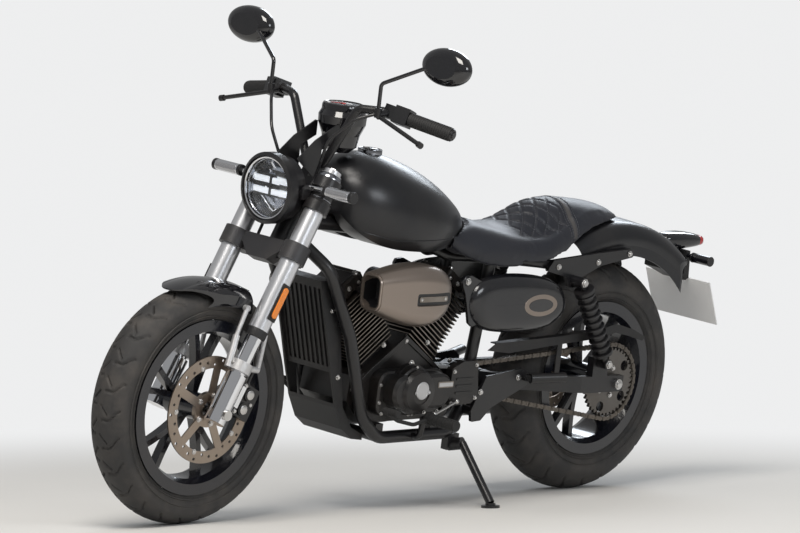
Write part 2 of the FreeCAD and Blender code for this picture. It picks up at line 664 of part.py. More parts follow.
mounts = [block(f"EngineMount{n}", 26, 40, 36, (x, 66, "cradle_z"))
          for n, x in enumerate((640, 840))]
STAND_PIVOT = Vector(572, 130, 180)
STAND_AXIS = Vector(-0.25, 1, 0.29).normalize()
STAND_EYE_HALF = 7


def along_stand(name, radius, start, end):
    """A rod on the line of the side stand's bolt."""
    return rod_between(name, radius, tuple(STAND_PIVOT + STAND_AXIS * start),
                       tuple(STAND_PIVOT + STAND_AXIS * end))


stand_lug = along_stand("StandLug", 16, -34, -STAND_EYE_HALF - v.fit)
stand_web = block("StandWeb", 40, 22, 42, (560, 90, 160))
# studs that carry the side covers, the radiator's shroud and the peg hangers
STUDS = [(495, 500, 70, 118, 8), (486, 590, 72, 118, 8), (1022, 500, 85.3, 100, 5),
         (1047, 560, 85.3, 100, 5), (527, 258, 70, 120.7, 12)]
studs = [rod(f"Stud{n}", radius, out - inner, (x, inner, z), TO_Y)
         for n, (x, z, inner, out, radius) in enumerate(STUDS)]
peg_arm = pipe("PegArm", 8, [(740, 104, 208), (740, 140, 208), (740, 152, 262)], 14)
side_frame = both("SideFrame", join("SideFrameLeft", cradle, rail, pivot_plate, *mounts, *studs))
right_peg_arm = pipe("RightPegArm", 8, [(740, -104, 198), (740, -118, 186), (740, -176, 186),
                                        (740, -182, 262)], 12)
cross = [rod("CrossLow", 14, "2 * cradle_y", (860, "-cradle_y", "cradle_z + 4"), TO_Y),
         rod("CrossRear", 13, 208, (330, -104, "rail_z - 12"), TO_Y)]
frame_body = join("FrameBody", head_tube, backbone, side_frame, stand_lug, stand_web, peg_arm,
                  right_peg_arm, *cross)
finish("main_frame", carve("MainFrame", frame_body, head_bore))

# engine
cos_bank = math.cos(math.radians(v.bank_angle))
sin_bank = math.sin(math.radians(v.bank_angle))
apex = v.crank_z + v.cylinder_base / cos_bank
step = 160
CASE = [(v.crank_x, apex), (v.crank_x + step * cos_bank, apex - step * sin_bank), (955, 366),
        (962, 300), (905, 241), (600, 241), (565, 290), (565, 366),
        (v.crank_x - step * cos_bank, apex - step * sin_bank)]
finish("crankcase", plate("Crankcase", CASE, -v.block_half, 2 * v.block_half))


def cylinder(name, turn):
    """A finned cylinder with its head, drawn upright and turned about the crankshaft."""
    core = rod(name + "_core", "barrel_radius", "cylinder_top - cylinder_base - 24",
               (0, 0, "cylinder_base"))
    foot = block(name + "_foot", 104, 104, 8, (-52, -52, "cylinder_base"))
    fins = []
    count = int((v.cylinder_top - v.cylinder_base - 44) / v.fin_pitch)
    for n in range(count):
        fins.append(block(f"{name}_fin_{n}", "2 * fin_half", "2 * fin_half", "fin_thick",
                          ("-fin_half", "-fin_half", f"cylinder_base + 14 + {n} * fin_pitch")))
    head = block(name + "_head", 104, 112, 30, (-52, -56, "cylinder_top - 30"))
    body = join(name, core, foot, head, *fins)
    return body, Placement(Vector(v.crank_x, 0, v.crank_z), Rotation(Vector(0, 1, 0), turn))


CYLINDER_PLACES = {}
for node, name, turn in (("front_cylinder", "FrontCylinder", v.bank_angle),
                         ("rear_cylinder", "RearCylinder", -v.bank_angle)):
    body, place = cylinder(name, turn)
    CYLINDER_PLACES[node] = place
    finish(node, body)

doc.recompute()


def round_case(name, x0, z0, x1, z1, y, thick, corner, edge):
    points = [(x0, z0), (x1, z0), (x1, z1), (x0, z1)]
    return bevelled(name, points, y, thick, corner, edge)


for node, side in (("left_engine_cover", 1), ("right_engine_cover", -1)):
    inner_cover = round_case(node + "_inner", 645, 262, 885, 378, v.block_half, 36, 34, 5)
    outer_cover = round_case(node + "_outer", 655, 285, 868, 374, v.block_half + 36, 40, 42, 8)
    # stepped round cover over the crankshaft's end
    face_y = v.block_half + 36
    round_cover = turned(node + "_round", [
        (0, face_y - 4), (66, face_y - 4), (66, face_y + 10), (62, face_y + 10), (62, face_y + 26),
        (57, face_y + 30), (57, face_y + 38), (50, face_y + 48), (30, face_y + 51), (30, face_y + 49),
        (0, face_y + 49)], (782, 0, 331))
    cover = join(node + "_pair", inner_cover, outer_cover, round_cover)
    finish(node, cover if side > 0 else mirror(node + "_mirror", cover))

# intake between the cylinders, carrying the air cleaner
intake_z = 578
runner = (intake_z - v.crank_z) * sin_bank - v.fin_half - v.fit
intake = [rod("Throttle", 34, 158, ("crank_x", -60, intake_z), TO_Y)]
for n, side in enumerate((-1, 1)):
    intake.append(rod_between(f"Runner{n}", 20, (v.crank_x, 0, intake_z),
                              (v.crank_x + side * runner * cos_bank, 0, intake_z - runner * sin_bank)))
finish("intake", join("Intake", *intake))


def rounded_section(x, y0, y1, z0, z1, corner):
    """A rounded rectangle in the plane of that x."""
    box = Part.makePolygon([Vector(x, y0, z0), Vector(x, y1, z0), Vector(x, y1, z1),
                            Vector(x, y0, z1), Vector(x, y0, z0)])
    solid = Part.Face(box).extrude(Vector(1, 0, 0))
    along = [edge for edge in solid.Edges
             if abs(edge.Vertexes[0].Point.x - edge.Vertexes[-1].Point.x) > 0.5]
    solid = solid.makeFillet(corner, along)
    face = min(solid.Faces, key=lambda item: item.CenterOfMass.x)
    return face.OuterWire


# x, inner y, outer y, low z, high z, corner
CLEANER = [(985, 112, 188, 545, 642, 26), (930, 106, 196, 524, 654, 34), (850, 96, 204, 504, 662, 40),
           (770, 96, 200, 512, 652, 40), (722, 104, 176, 545, 622, 30)]
cleaner_shell = Part.makeLoft([rounded_section(*row) for row in CLEANER], True, False)
cleaner_mouth = Part.makeLoft([rounded_section(990, 120, 180, 553, 634, 20),
                               rounded_section(940, 126, 174, 560, 626, 20)], True, False)
cleaner_back = Part.makeBox(400, 100, 300, Vector(650, 98.3 - 100, 450))
# shallow recess for a name plate, left blank
plate_recess = plate("PlateRecess", [(746, 562), (870, 562), (870, 594), (746, 594)], 196, 20, 6)
finish("air_cleaner", carve("AirCleaner", shape("CleanerShell", cleaner_shell.cut(cleaner_mouth).cut(
    cleaner_back)), plate_recess))

# fuel tank and seat
# x, half width, top, bottom
TANK = [(1030, 62, 872, 778), (1000, 108, 903, 738), (930, 140, 922, 702), (830, 150, 906, 686),
        (730, 140, 868, 683), (660, 112, 830, 690), (600, 72, 790, 702), (562, 22, 758, 716)]


def tank_section(x, half, top, low, grow=0.0):
    """Crown, round flanks and a flat floor, as three arcs and a line."""
    half = half + grow
    top = top + grow
    low = low - grow
    tall = top - low
    shoulder = Vector(x, half * 0.66, low + tall * 0.84)
    side = Vector(x, half, low + tall * 0.42)
    floor = Vector(x, half * 0.8, low)

    def flip(point):
        return Vector(point.x, -point.y, point.z)

    return Part.Wire([Part.Arc(flip(shoulder), Vector(x, 0, top), shoulder).toShape(),
                      Part.Arc(shoulder, side, floor).toShape(),
                      Part.LineSegment(floor, flip(floor)).toShape(),
                      Part.Arc(flip(floor), flip(side), flip(shoulder)).toShape()])


def tank_loft(grow=0.0):
    rows = [list(row) for row in TANK]
    rows[0][0] += grow
    rows[-1][0] -= grow
    return Part.makeLoft([tank_section(*row, grow) for row in rows], True, False)


tunnel_run = Vector(neck_x - 720, 0, neck_z - 712).normalize()
tunnel = Part.makeBox(700, 56, 200, Vector(-250, -28, -200 + v.backbone_radius + v.fit))
tunnel.Placement = Placement(Vector(720, 0, 712), Rotation(Vector(1, 0, 0), tunnel_run))
tank_shape = tank_loft().cut(tunnel)
finish("fuel_tank", shape("FuelTank", tank_shape))

cap_disc = rod("CapDisc", 31, 22, (893, 0, 906))
finish("fuel_cap", carve("FuelCap", cap_disc, shape("CapSeat", tank_loft(v.fit))))

# x, half width, top, bottom, then y and z of the shoulder
SEAT = [(676, 116, 742, 700, 80, 736), (610, 125, 752, 660, 88, 742), (540, 132, 748, 640, 92, 735),
        (416, 141, 731, 632, 96, 712), (300, 142, 776, 642, 88, 712), (200, 122, 792, 672, 84, 750),
        (97, 104, 785, 700, 74, 768), (10, 84, 768, 716, 58, 757), (-20, 60, 752, 728, 40, 746)]


def seat_section(x, half, top, low, shoulder_y, shoulder_z):
    shoulder = Vector(x, shoulder_y, shoulder_z)
    side = Vector(x, half, low + 0.5 * (shoulder_z - low))
    floor = Vector(x, half * 0.93, low)

    def flip(point):
        return Vector(point.x, -point.y, point.z)

    return Part.Wire([Part.Arc(flip(shoulder), Vector(x, 0, top), shoulder).toShape(),
                      Part.Arc(shoulder, side, floor).toShape(),
                      Part.LineSegment(floor, flip(floor)).toShape(),
                      Part.Arc(flip(floor), flip(side), flip(shoulder)).toShape()])


seat_shape = Part.makeLoft([seat_section(*row) for row in SEAT], True, False)
rail_top = v.rail_z + v.rail_radius + v.fit
seat_shape = seat_shape.cut(tank_loft(0.8))
for x, long, wide, top in ((-180, 600, 131.5, rail_top), (420, 300, 104, rail_top), (540, 160, 60, 720)):
    seat_shape = seat_shape.cut(Part.makeBox(long, 2 * wide, 200, Vector(x, -wide, top - 200)))
fender_space = Part.makeCylinder(v.fender_radius + 0.8, 260, Vector(0, -130, v.rear_tyre_radius),
                                 Vector(0, 1, 0))
seat_shape = seat_shape.cut(fender_space)
finish("seat", shape("Seat", seat_shape))

# rear fender, round in plan at its tail
outer_r = v.fender_radius
inner_r = outer_r - v.sheet_thick
skirt_r = outer_r - v.fender_skirt
half = v.fender_half
fender_ring = turned("FenderRing", [
    (skirt_r, half), (inner_r - 60, half), (inner_r - 14, half - 16, inner_r - 4, half - 44),
    (inner_r, 0, inner_r - 4, 44 - half), (inner_r - 14, 16 - half, inner_r - 60, -half),
    (skirt_r, -half), (skirt_r, -half - v.sheet_thick), (inner_r - 60, -half - v.sheet_thick),
    (outer_r - 11, 16 - half - 2, outer_r - 4, 44 - half), (outer_r, 0, outer_r - 4, half - 44),
    (outer_r - 11, half - 16 + 2, inner_r - 60, half + v.sheet_thick), (skirt_r, half + v.sheet_thick)],
    REAR_HUB, 78, -142)
# the point of the fender that carries the tail light
TAIL_AT = Vector(-outer_r * math.sin(math.radians(v.tail_angle)), 0,
                 v.rear_tyre_radius + outer_r * math.cos(math.radians(v.tail_angle)))
tail_x = TAIL_AT.x + 58
tail_round = Part.Face(Part.Wire(Part.Ellipse(Vector(tail_x, 0, 0), half + 17, half + 8).toShape()))
tail_round = tail_round.extrude(Vector(0, 0, 900))
finish("rear_fender", common("RearFender", fender_ring, join(
    "FenderPlan", shape("TailRound", tail_round),
    block("FenderFront", 420, "2 * fender_half + 20", 900, (tail_x, "-fender_half - 10", 0)))))

# fender struts with shock mounts
STRUT = [(318, 622), (296, 650), (120, 664), (-8, 672), (-16, 650), (110, 630), (185, 600),
         (196, 576), (226, 576), (240, 604)]
strut = plate("StrutPlate", STRUT, v.strut_y, v.strut_thick, 6)
strut_boss = rod("StrutBoss", 14, "shock_y - 10 - strut_y - strut_thick",
                 (210, "strut_y + strut_thick", 594), TO_Y)
rack_bore = rod("RackBore", 4, 40, (8, "strut_y - 10", 661), TO_Y)
# spacers at the bolts that hold the fender between its struts
spacers = [rod(f"FenderSpacer{n}", 7, "strut_y - fender_half - sheet_thick",
               (x, "fender_half + sheet_thick", z), TO_Y) for n, (x, z) in enumerate(((112, 646), (58, 656)))]
finish("fender_struts", both("FenderStruts", carve("Strut", join("StrutBody", strut, strut_boss, *spacers),
                                                   rack_bore)))

# shock absorbers
SHOCK_TOP = Vector(210, v.shock_y, 594)
SHOCK_LOW = Vector(75, v.shock_y, v.rear_tyre_radius + 61.5)
shock_way = (SHOCK_LOW - SHOCK_TOP).normalize()


shock_length = (SHOCK_LOW - SHOCK_TOP).Length
eyes = [rod(f"ShockEye{n}", 14, 20, (point.x, v.shock_y - 10 + v.fit, point.z), TO_Y)
        for n, point in enumerate((SHOCK_TOP, SHOCK_LOW))]
# radius and distance from the upper eye: cap, coils of the spring, seat, rod
SHOCK = [(0, 8), (8, 8), (8, 20), (27, 22), (27, 32)]
coil_count = 9
coil_pitch = (shock_length - 78) / coil_count
for n in range(coil_count):
    low_end = 34 + n * coil_pitch
    SHOCK += [(19, low_end), (25.5, low_end + 2.5), (26.5, low_end + 5), (25.5, low_end + 7.5),
              (19, low_end + 10)]
SHOCK += [(19, shock_length - 43), (27, shock_length - 41), (27, shock_length - 33),
          (8, shock_length - 30), (8, shock_length - 8), (0, shock_length - 8)]
shock_form = Part.Face(outline(SHOCK)).revolve(Vector(), Vector(0, 0, 1), 360)
shock_form.Placement = Placement(SHOCK_TOP, Rotation(Vector(0, 0, 1), shock_way))
finish("shock_absorbers", both("ShockAbsorbers", join("Shock", shape("ShockForm", shock_form), *eyes)))

# swing arm
ARM_PLAN = [(v.pivot_x + 18, 29), (v.pivot_x - 30, 29), (402, 76), (330, 87), (150, 116), (-26, 116),
            (-26, ARM_OUT), (140, ARM_OUT), (318, 109), (420, 96), (v.pivot_x - 18, 51),
            (v.pivot_x + 18, 51)]
hub_z = v.rear_tyre_radius
ARM_SIDE = [(v.pivot_x + 20, v.pivot_z - 20), (v.pivot_x + 20, v.pivot_z + 20), (100, hub_z + 23.5),
            (100, hub_z + 75.5), (50, hub_z + 75.5), (40, hub_z + 23.5), (-26, hub_z + 21.5),
            (-26, hub_z - 20.5), (100, hub_z - 20.5)]
plan = Part.Face(Part.makePolygon([Vector(x, y, 0) for x, y in ARM_PLAN + ARM_PLAN[:1]]))
plan = plan.extrude(Vector(0, 0, 900))
side_view = Part.Face(outline(ARM_SIDE)).extrude(Vector(0, 300, 0))
arm = carve("ArmCut", shape("ArmSolid", plan.common(side_view)),
            rod("ArmAxleHole", "axle_radius + fit", 60, (0, 100, "rear_tyre_radius"), TO_Y))
pivot_tube = rod("PivotTube", 19, 2 * (54 - v.fit), ("pivot_x", -54 + v.fit, "pivot_z"), TO_Y)
arm_cross = rod("ArmCross", 18, 150, (405, -75, 328), TO_Y)
arm_boss = rod("ArmBoss", 14, f"shock_y - 10 - {ARM_OUT - 1}", (75, ARM_OUT - 1, "rear_tyre_radius + 61.5"),
               TO_Y)
finish("swingarm", join("Swingarm", both("Arms", join("Arm", arm, arm_boss)), pivot_tube, arm_cross))

# chain: one flat loop round both sprockets
gap = Vector(v.front_sprocket_x, 0, v.front_sprocket_z) - Vector(*REAR_HUB)
span = math.hypot(gap.x, gap.z)


def loop_face(rear_radius, front_radius):
    """The area inside a belt round the two sprockets."""
    tilt = math.atan2(gap.z, gap.x)
    lift = math.acos((rear_radius - front_radius) / span)

    def at(centre, radius, angle):
        return Vector(centre.x + radius * math.cos(angle), 0, centre.z + radius * math.sin(angle))

    rear = Vector(*REAR_HUB)
    front = Vector(v.front_sprocket_x, 0, v.front_sprocket_z)
    rear_high = at(rear, rear_radius, tilt + lift)
    rear_low = at(rear, rear_radius, tilt - lift)
    front_high = at(front, front_radius, tilt + lift)
    front_low = at(front, front_radius, tilt - lift)
    wire = Part.Wire([Part.Arc(rear_high, at(rear, rear_radius, tilt + math.pi), rear_low).toShape(),
                      Part.LineSegment(rear_low, front_low).toShape(),
                      Part.Arc(front_low, at(front, front_radius, tilt), front_high).toShape(),
                      Part.LineSegment(front_high, rear_high).toShape()])
    return Part.Face(wire)


# the chain's plates are waisted between its pins, which lie on the pitch line
half_link = v.chain_height / 2
pitch_line = loop_face(v.rear_pitch_radius, v.front_pitch_radius).OuterWire
link_count = 2 * round(pitch_line.Length / v.link_pitch / 2)
waist = half_link - 2


def chain_edge(side):
    """The chain's outer (side 1) or inner (side -1) outline: wide at the pins, narrow between."""
    points = []
    stations = pitch_line.discretize(Number=4 * link_count + 1)[:-1]
    middle = Vector(0.5 * v.front_sprocket_x, 0, 0.5 * (v.front_sprocket_z + v.rear_tyre_radius))
    for n, place in enumerate(stations):
        ahead = stations[(n + 1) % len(stations)] - stations[n - 1]
        out = Vector(ahead.z, 0, -ahead.x).normalize()
        if out.dot(place - middle) < 0 and len(points) == 0:
            side = -side
        reach = (half_link, waist + 0.8, waist, waist + 0.8)[n % 4]
        points.append(place + out * side * reach)
    return Part.Face(Part.makePolygon(points + points[:1]))


chain = chain_edge(1).cut(chain_edge(-1)).extrude(Vector(0, v.chain_width, 0))
chain.translate(Vector(0, v.chain_y - v.chain_width / 2, 0))
# the front sprocket's teeth carry the chain
front_tip = v.front_pitch_radius - half_link + 1.5
finish("chain", join(
    "ChainAndSprocket", shape("Chain", chain),
    toothed("FrontSprocketTeeth", front_tip, 13, (v.front_sprocket_x, 0, v.front_sprocket_z)),
    rod("FrontSprocketShaft", 12, "chain_y + 12 - block_half",
        ("front_sprocket_x", "block_half", "front_sprocket_z"), TO_Y)))

# guard over the chain
nose_z = v.front_sprocket_z
GUARD = [(500, nose_z + 70), (470, nose_z + 88), (225, hub_z + 134.5), (78, hub_z + 144.5),
         (10, hub_z + 159.5), (-60, hub_z + 141.5), (-112, hub_z + 119.5), (-100, hub_z + 109.5),
         (-40, hub_z + 125.5), (10, hub_z + 135.5), (60, hub_z + 123.5), (216, hub_z + 113.5),
         (420, nose_z + 60)]
LIP = GUARD[1:4] + [(76, hub_z + 141.5), (225, hub_z + 131.5), (470, nose_z + 85)]
guard = join("Guard", plate("GuardSide", GUARD, 120, 3), plate("GuardLip", LIP, 100, 20.5))
# its feet stand on the swing arm: on the sloping top and on the shock's boss
arm_slope = (v.pivot_z + 20 - hub_z - 23.5) / (v.pivot_x + 20 - 100)
guard_feet = [block(f"GuardFoot{n}", 18, 3, hub_z + 129.5 - z, (x, 120, z)) for n, (x, z) in enumerate(
    ((216, hub_z + 24 + arm_slope * (216 + 18 - 100)), (66, hub_z + 75.8)))]
finish("chain_guard", join("ChainGuard", guard, *guard_feet))

# hangers behind the engine with the passenger's pegs, rider's pegs and foot levers
HANGER = [(527, 300), (500, 352), (365, 366), (340, 350), (342, 322), (470, 268), (505, 236),
          (540, 234), (545, 264)]
RIGHT_HANGER = [(527, 300), (500, 352), (365, 366), (340, 350), (342, 322), (470, 268), (512, 249),
                (544, 249)]
peg_pieces = [rod("HangerPivot", 10, 12, (356, 129, 344), TO_Y),
              rod_between("HangerPeg", 13, (356, 150, 344), (262, 186, 350)),
              rod_between("HangerPegRoot", 8, (356, 134, 344), (352, 152, 344))]
hanger_peg = join("HangerPegPieces", *peg_pieces)
finish("peg_hangers", join(
    "PegHangers", plate("HangerPlate", HANGER, 121, 8, 5), hanger_peg,
    plate("RightHangerPlate", RIGHT_HANGER, -129, 8, 5), mirror("RightHangerPeg", hanger_peg)))
# the gear lever turns on the left peg's root and the brake pedal on the right one's
peg = join("LeftPeg", rod("RiderPeg", 14, 104, (740, 160.3, 262), TO_Y),
           rod("GearLeverEye", 17, 12, (740, 164, 262), TO_Y),
           pipe("GearLever", 5, [(746, 170, 261), (800, 172, 250), (862, 172, 264), (907, 172, 294)], 40),
           rod("ToePeg", 9, 50, (904, 165, 291), TO_Y))
right_peg = join("RightPeg", rod("RightRiderPeg", 14, 104, (740, -294.3, 262), TO_Y),
                 rod("PedalEye", 17, 12, (740, -206, 262), TO_Y),
                 pipe("BrakePedal", 5, [(746, -200, 261), (800, -201, 250), (866, -201, 264),
                                        (906, -201, 293)], 40),
                 plate("PedalPad", [(884, 288), (924, 302), (921, 310), (881, 296)], -226, 46))
finish("rider_pegs", join("RiderPegs", peg, right_peg))
caliper_block = block("RearCaliperBlock", 62, 38, 64, (58, "-115.7", 340))
rear_slot = rod("RearSlot", "rear_disc_radius + 5", 14, (0, "rear_disc_y - 7", "rear_tyre_radius"), TO_Y)
finish("rear_caliper", carve("RearCaliper", caliper_block, rear_slot))

# cover over the front sprocket, level with the engine's left cover
SPROCKET_COVER = [(534, 304), (560, 286), (641, 282), (641, 380), (598, 398), (548, 394)]
sprocket_cover = plate("SprocketCoverPlate", SPROCKET_COVER, 117, 20, 10)
cover_foot = block("CoverFoot", 18, 34, 30, (626, 84.3, 262))
finish("sprocket_cover", join("SprocketCover", sprocket_cover, cover_foot))

# radiator and its shroud
FRONT = [(1102, 612), (1091, 575), (1058, 470), (1026, 367), (998, 285), (966, 228), (930, 202)]
SHROUD = FRONT + [(890, 197), (892, 212), (934, 232), (972, 285), (992, 380), (1008, 480),
                  (1042, 600), (1046, 612)]
shroud_solid = Part.Face(outline(SHROUD)).extrude(Vector(0, 170, 0))
shroud_solid.translate(Vector(0, -85, 0))
HOLLOW = [(1112, 603), (1070, 470), (1034, 365), (1000, 292), (962, 240), (926, 213), (870, 209),
          (900, 330), (950, 480), (1010, 603)]
hollow = Part.Face(outline(HOLLOW)).extrude(Vector(0, 158, 0))
hollow.translate(Vector(0, -79, 0))
shroud = shroud_solid.cut(hollow)
finish("radiator_shroud", shape("RadiatorShroud", shroud))
CORE = [(1089, 602.7), (1019, 374), (993, 382), (1063, 602.7)]
core = Part.Face(outline(CORE)).extrude(Vector(0, 157.4, 0))
core.translate(Vector(0, -78.7, 0))
core_edge = Vector(CORE[0][0] - CORE[1][0], 0, CORE[0][1] - CORE[1][1])
core_tilt = Rotation(Vector(0, 0, 1), core_edge)
slots = []
for n in range(9):
    slot = Part.makeBox(5, 9, core_edge.Length - 30, Vector(-4, -4.5, 15))
    slot.Placement = Placement(Vector(CORE[1][0], 16.5 * (n - 4), CORE[1][1]), core_tilt)
    slots.append(shape(f"CoreSlot{n}", slot))
finish("radiator", carve("Radiator", shape("RadiatorCore", core), *slots))

# exhaust on the right
port = 285 * cos_bank + v.crank_z
HEADER = [(v.crank_x + 285 * sin_bank, -v.fin_half - v.fit, port),
          (v.crank_x + 285 * sin_bank, v.pipe_y, port), (915, v.pipe_y, 300),
          (850, v.pipe_y, v.pipe_z), (430, v.pipe_y, v.pipe_z), (380, -158, v.pipe_z)]
rear_port = 260 * cos_bank + v.crank_z
REAR_HEADER = [(v.crank_x - 260 * sin_bank, -v.fin_half - v.fit, rear_port),
               (v.crank_x - 260 * sin_bank, v.pipe_y, rear_port),
               (v.crank_x - 260 * sin_bank, v.pipe_y, v.pipe_z + 40),
               (560, v.pipe_y, v.pipe_z)]
finish("exhaust_pipes", join("ExhaustPipes", pipe("FrontHeader", "pipe_radius", HEADER, 45),
                             pipe("RearHeader", "pipe_radius", REAR_HEADER, 40)))
muffler = join("MufflerBody", rod("MufflerDrum", "muffler_radius", 420, (-60, -160, "pipe_z"), TO_X),
               rod("MufflerTip", 22, 60, (-100, -160, "pipe_z"), TO_X))
cone = doc.addObject("Part::Cone", "MufflerCone")
bind(cone, Radius1="muffler_radius", Radius2=21, Height=30)
put(cone, (360, -160, "pipe_z"), TO_X)
pipe_space = pipe("PipeSpace", "pipe_radius + fit", HEADER, 45)
finish("muffler", carve("Muffler", join("MufflerWhole", muffler, cone), pipe_space))

# side covers
COVER = [(250, 500), (330, 472), (455, 468), (552, 487), (588, 520), (588, 575), (550, 606), (450, 616),
         (330, 600), (262, 572), (240, 535)]
side_shell = bevelled("SideShell", COVER, 118.3, 30, 12, 8)
# oval recess, left blank, and the lug of the front bolt
oval = Part.Face(Part.Wire(Part.Ellipse(Vector(404, 0, 0), 44, 27).toShape())).extrude(Vector(0, 0, 20))
oval.Placement = Placement(Vector(0, 166.3, 532), Rotation(Vector(1, 0, 0), 90))
lug = plate("SideLug", [(560, 575), (600, 586), (632, 594), (630, 618), (600, 620), (545, 598)], 118.3, 12, 5)
side_cover = join("SideCoverLeft", carve("SideShellCut", side_shell, shape("OvalRecess", oval)), lug)
finish("left_side_cover", side_cover)
finish("right_side_cover", mirror("SideCoverRight", side_cover))

# tail light, rear signals and plate
def from_tail(offsets):
    """Points of the upright machine from (x, z) offsets to the fender's tail light point."""
    return [(TAIL_AT.x + x, TAIL_AT.z + z) for x, z in offsets]


TAIL = from_tail([(0, -6.6), (-13, 30.4), (-68, 36.4), (-138, 28.4), (-138, -3.6), (-68, -9.6), (-38, -31.6)])
fender_top = rod("FenderTop", "fender_radius + fit", 260, (0, -130, "rear_tyre_radius"), TO_Y)
finish("tail_light", carve("TailLight", plate("TailLightBody", TAIL, -32, 64, 5), fender_top))
finish("tail_lens", block("TailLensBody", 20, 60, 30, (TAIL_AT.x - 158.3, -30, TAIL_AT.z - 2.6)))
BRACKET = from_tail([(0, -45.6), (0, -59.6), (-38, -73.6), (-83, -91.6), (-96, -85.6), (-90, -10.6),
                     (-74, -10.6), (-74, -73.6), (-56, -68.6), (-28, -47.6)])
stem_box = block("BracketStemBox", 30, 60, 60, (TAIL_AT.x - 30, -30, TAIL_AT.z - 53.6))
bracket_stem = common("BracketStem", stem_box, rod(
    "FenderUnder", "fender_radius - sheet_thick - 1.2", 260, (0, -130, "rear_tyre_radius"), TO_Y))
finish("plate_bracket", join("PlateBracket", plate("BracketPlate", BRACKET, -40, 80), bracket_stem))
plate_box = block("NumberPlate", 3, 230, 128, (0, 0, 0))
plate_box.Placement = Placement(Vector(TAIL_AT.x - 96.2, -115, TAIL_AT.z - 85.6),
                                Rotation(Vector(0, 1, 0), 180 + 24))
finish("number_plate", plate_box)
finish("rear_signals", both("RearSignals", join(
    "RearSignal", rod("RearSignalStalk", 6, 22, (TAIL_AT.x - 82, 40 + v.fit, TAIL_AT.z - 23.6), TO_Y),
    rod("RearSignalBody", 13, 64, (TAIL_AT.x - 82, 58, TAIL_AT.z - 25.6), TO_Y))))
finish("front_signals", both("FrontSignals", join(
    "FrontSignal", rod("SignalStalk", 7, 60, (signal_x, v.lamp_radius + 4.1, signal_z), TO_Y),
    rod("SignalBody", 14, 96, (signal_x, 150, signal_z), TO_Y))))

# mirrors
mirror_head = Part.makeLoft([Part.Wire(Part.Ellipse(Vector(0, 0, x), a, b).toShape())
                             for x, a, b in ((0, 74, 45), (18, 76, 46), (36, 50, 28))], True, False)
mirror_head.Placement = Placement(Vector(1006, 346, 1190), Rotation(Vector(0, 1, 0), 90)).multiply(
    Placement(Vector(), Rotation(Vector(0, 0, 1), 90)))
finish("mirrors", both("Mirrors", join("Mirror", shape("MirrorHead", mirror_head), pipe(
    "MirrorStem", 5, [(1078, 190, 1064.3), (1078, 190, 1124), (1040, 290, 1177), (1030, 320, 1186)], 14))))
# perches carry the levers and the mirror stems
perch_box = block("PerchBox", 34, 34, 30, (0, 0, 0))
perch_box.Placement = Placement(GRIP_IN - grip_way * 70 + Vector(-2, 0, 0), to_grip).multiply(
    Placement(Vector(-17, -17, 0), Rotation()))
perch_root = tuple(GRIP_IN - grip_way * 57)
perch = carve("LeverPerch", join("PerchBody", perch_box, rod_between(
    "PerchArm", 11, perch_root, (1078, 190, 1046))), pipe("PerchSpace", "bar_radius + fit", BAR, 26))
mirror_boss = rod("MirrorBoss", 9, 24, (1078, 190, 1040))
# cable from each perch, between the bar and the lamp, down to the lower clamp


def upright(forward, across, along):
    """A point of the raked frame in the upright machine."""
    return tuple(HEAD.multVec(Vector(forward, across, along)))


CABLE = [(1078, 184, 1048), (1112, 150, 1030), (1150, 100, 968), upright(52, 62, 650), upright(50, 62, 560),
         upright(24, 62, 510), upright(22, 62, v.lower_clamp_s + v.lower_clamp_thick + v.fit)]
finish("hand_controls", both("HandControls", join(
    "HandControl", switch_housing, perch, mirror_boss, pipe("Cable", "cable_radius", CABLE, 60),
    rod_between("LeverBlade", 5.5, (1074, 194, 1042), (1087, 349, 1000)),
    rod_between("LeverBall", 8, (1086, 344, 1001), (1088, 356, 998)))))

# speedometer
SPEEDO = [(0, 922), (26, 922), (43, 937), (48, 966), (60, 994), (61, 1014), (54, 1028), (32, 1039), (0, 1042)]
pod_face = Part.Face(outline(SPEEDO))
pod = pod_face.revolve(Vector(), Vector(0, 0, 1), 360)
pod.translate(Vector(1005, 0, 0))
finish("speedometer", shape("Speedometer", pod))
POD_BRACKET = [(1186, 912), (1130, 958), (1060, 997), (1030, 990), (1034, 968), (1106, 934), (1103, 853.9),
               (1128, 866.6), (1150, 884)]
pod_plate = plate("PodPlate", POD_BRACKET, 36, 4)
pod_space = rod("PodSpace", 60.5, 120, (1005, 0, 925))
finish("speedometer_bracket", both("SpeedometerBracket", carve("PodPlateCut", pod_plate, pod_space)))

# side stand, its foot flat on the floor
STAND_FOOT = (575, 255)
foot_way = LEAN.inverse()
ankle = foot_way.multVec(Vector(*STAND_FOOT, 12))
foot_pad = rod("StandPad", 24, 6, (0, 0, 0))
foot_pad.Placement = foot_way.multiply(Placement(Vector(*STAND_FOOT, 0), Rotation()))
finish("side_stand", join(
    "SideStand", along_stand("StandEye", 16, -STAND_EYE_HALF, STAND_EYE_HALF),
    rod_between("StandLeg", "stand_radius", tuple(STAND_PIVOT + STAND_AXIS * 6), tuple(ankle)),
    rod_between("StandAnkle", 13, tuple(ankle), tuple(foot_way.multVec(Vector(*STAND_FOOT, 3)))),
    foot_pad))

doc.recompute()

# checks, stance and files
for node, obj, raked in PARTS:
    place = CYLINDER_PLACES.get(node, obj.Placement)
    obj.Placement = LEAN.multiply(HEAD.multiply(place) if raked else place)
for obj in doc.Objects:
    if "Invalid" in obj.State or "Error" in obj.State:
        raise SystemExit(f"failed: {obj.Name} {obj.State}")
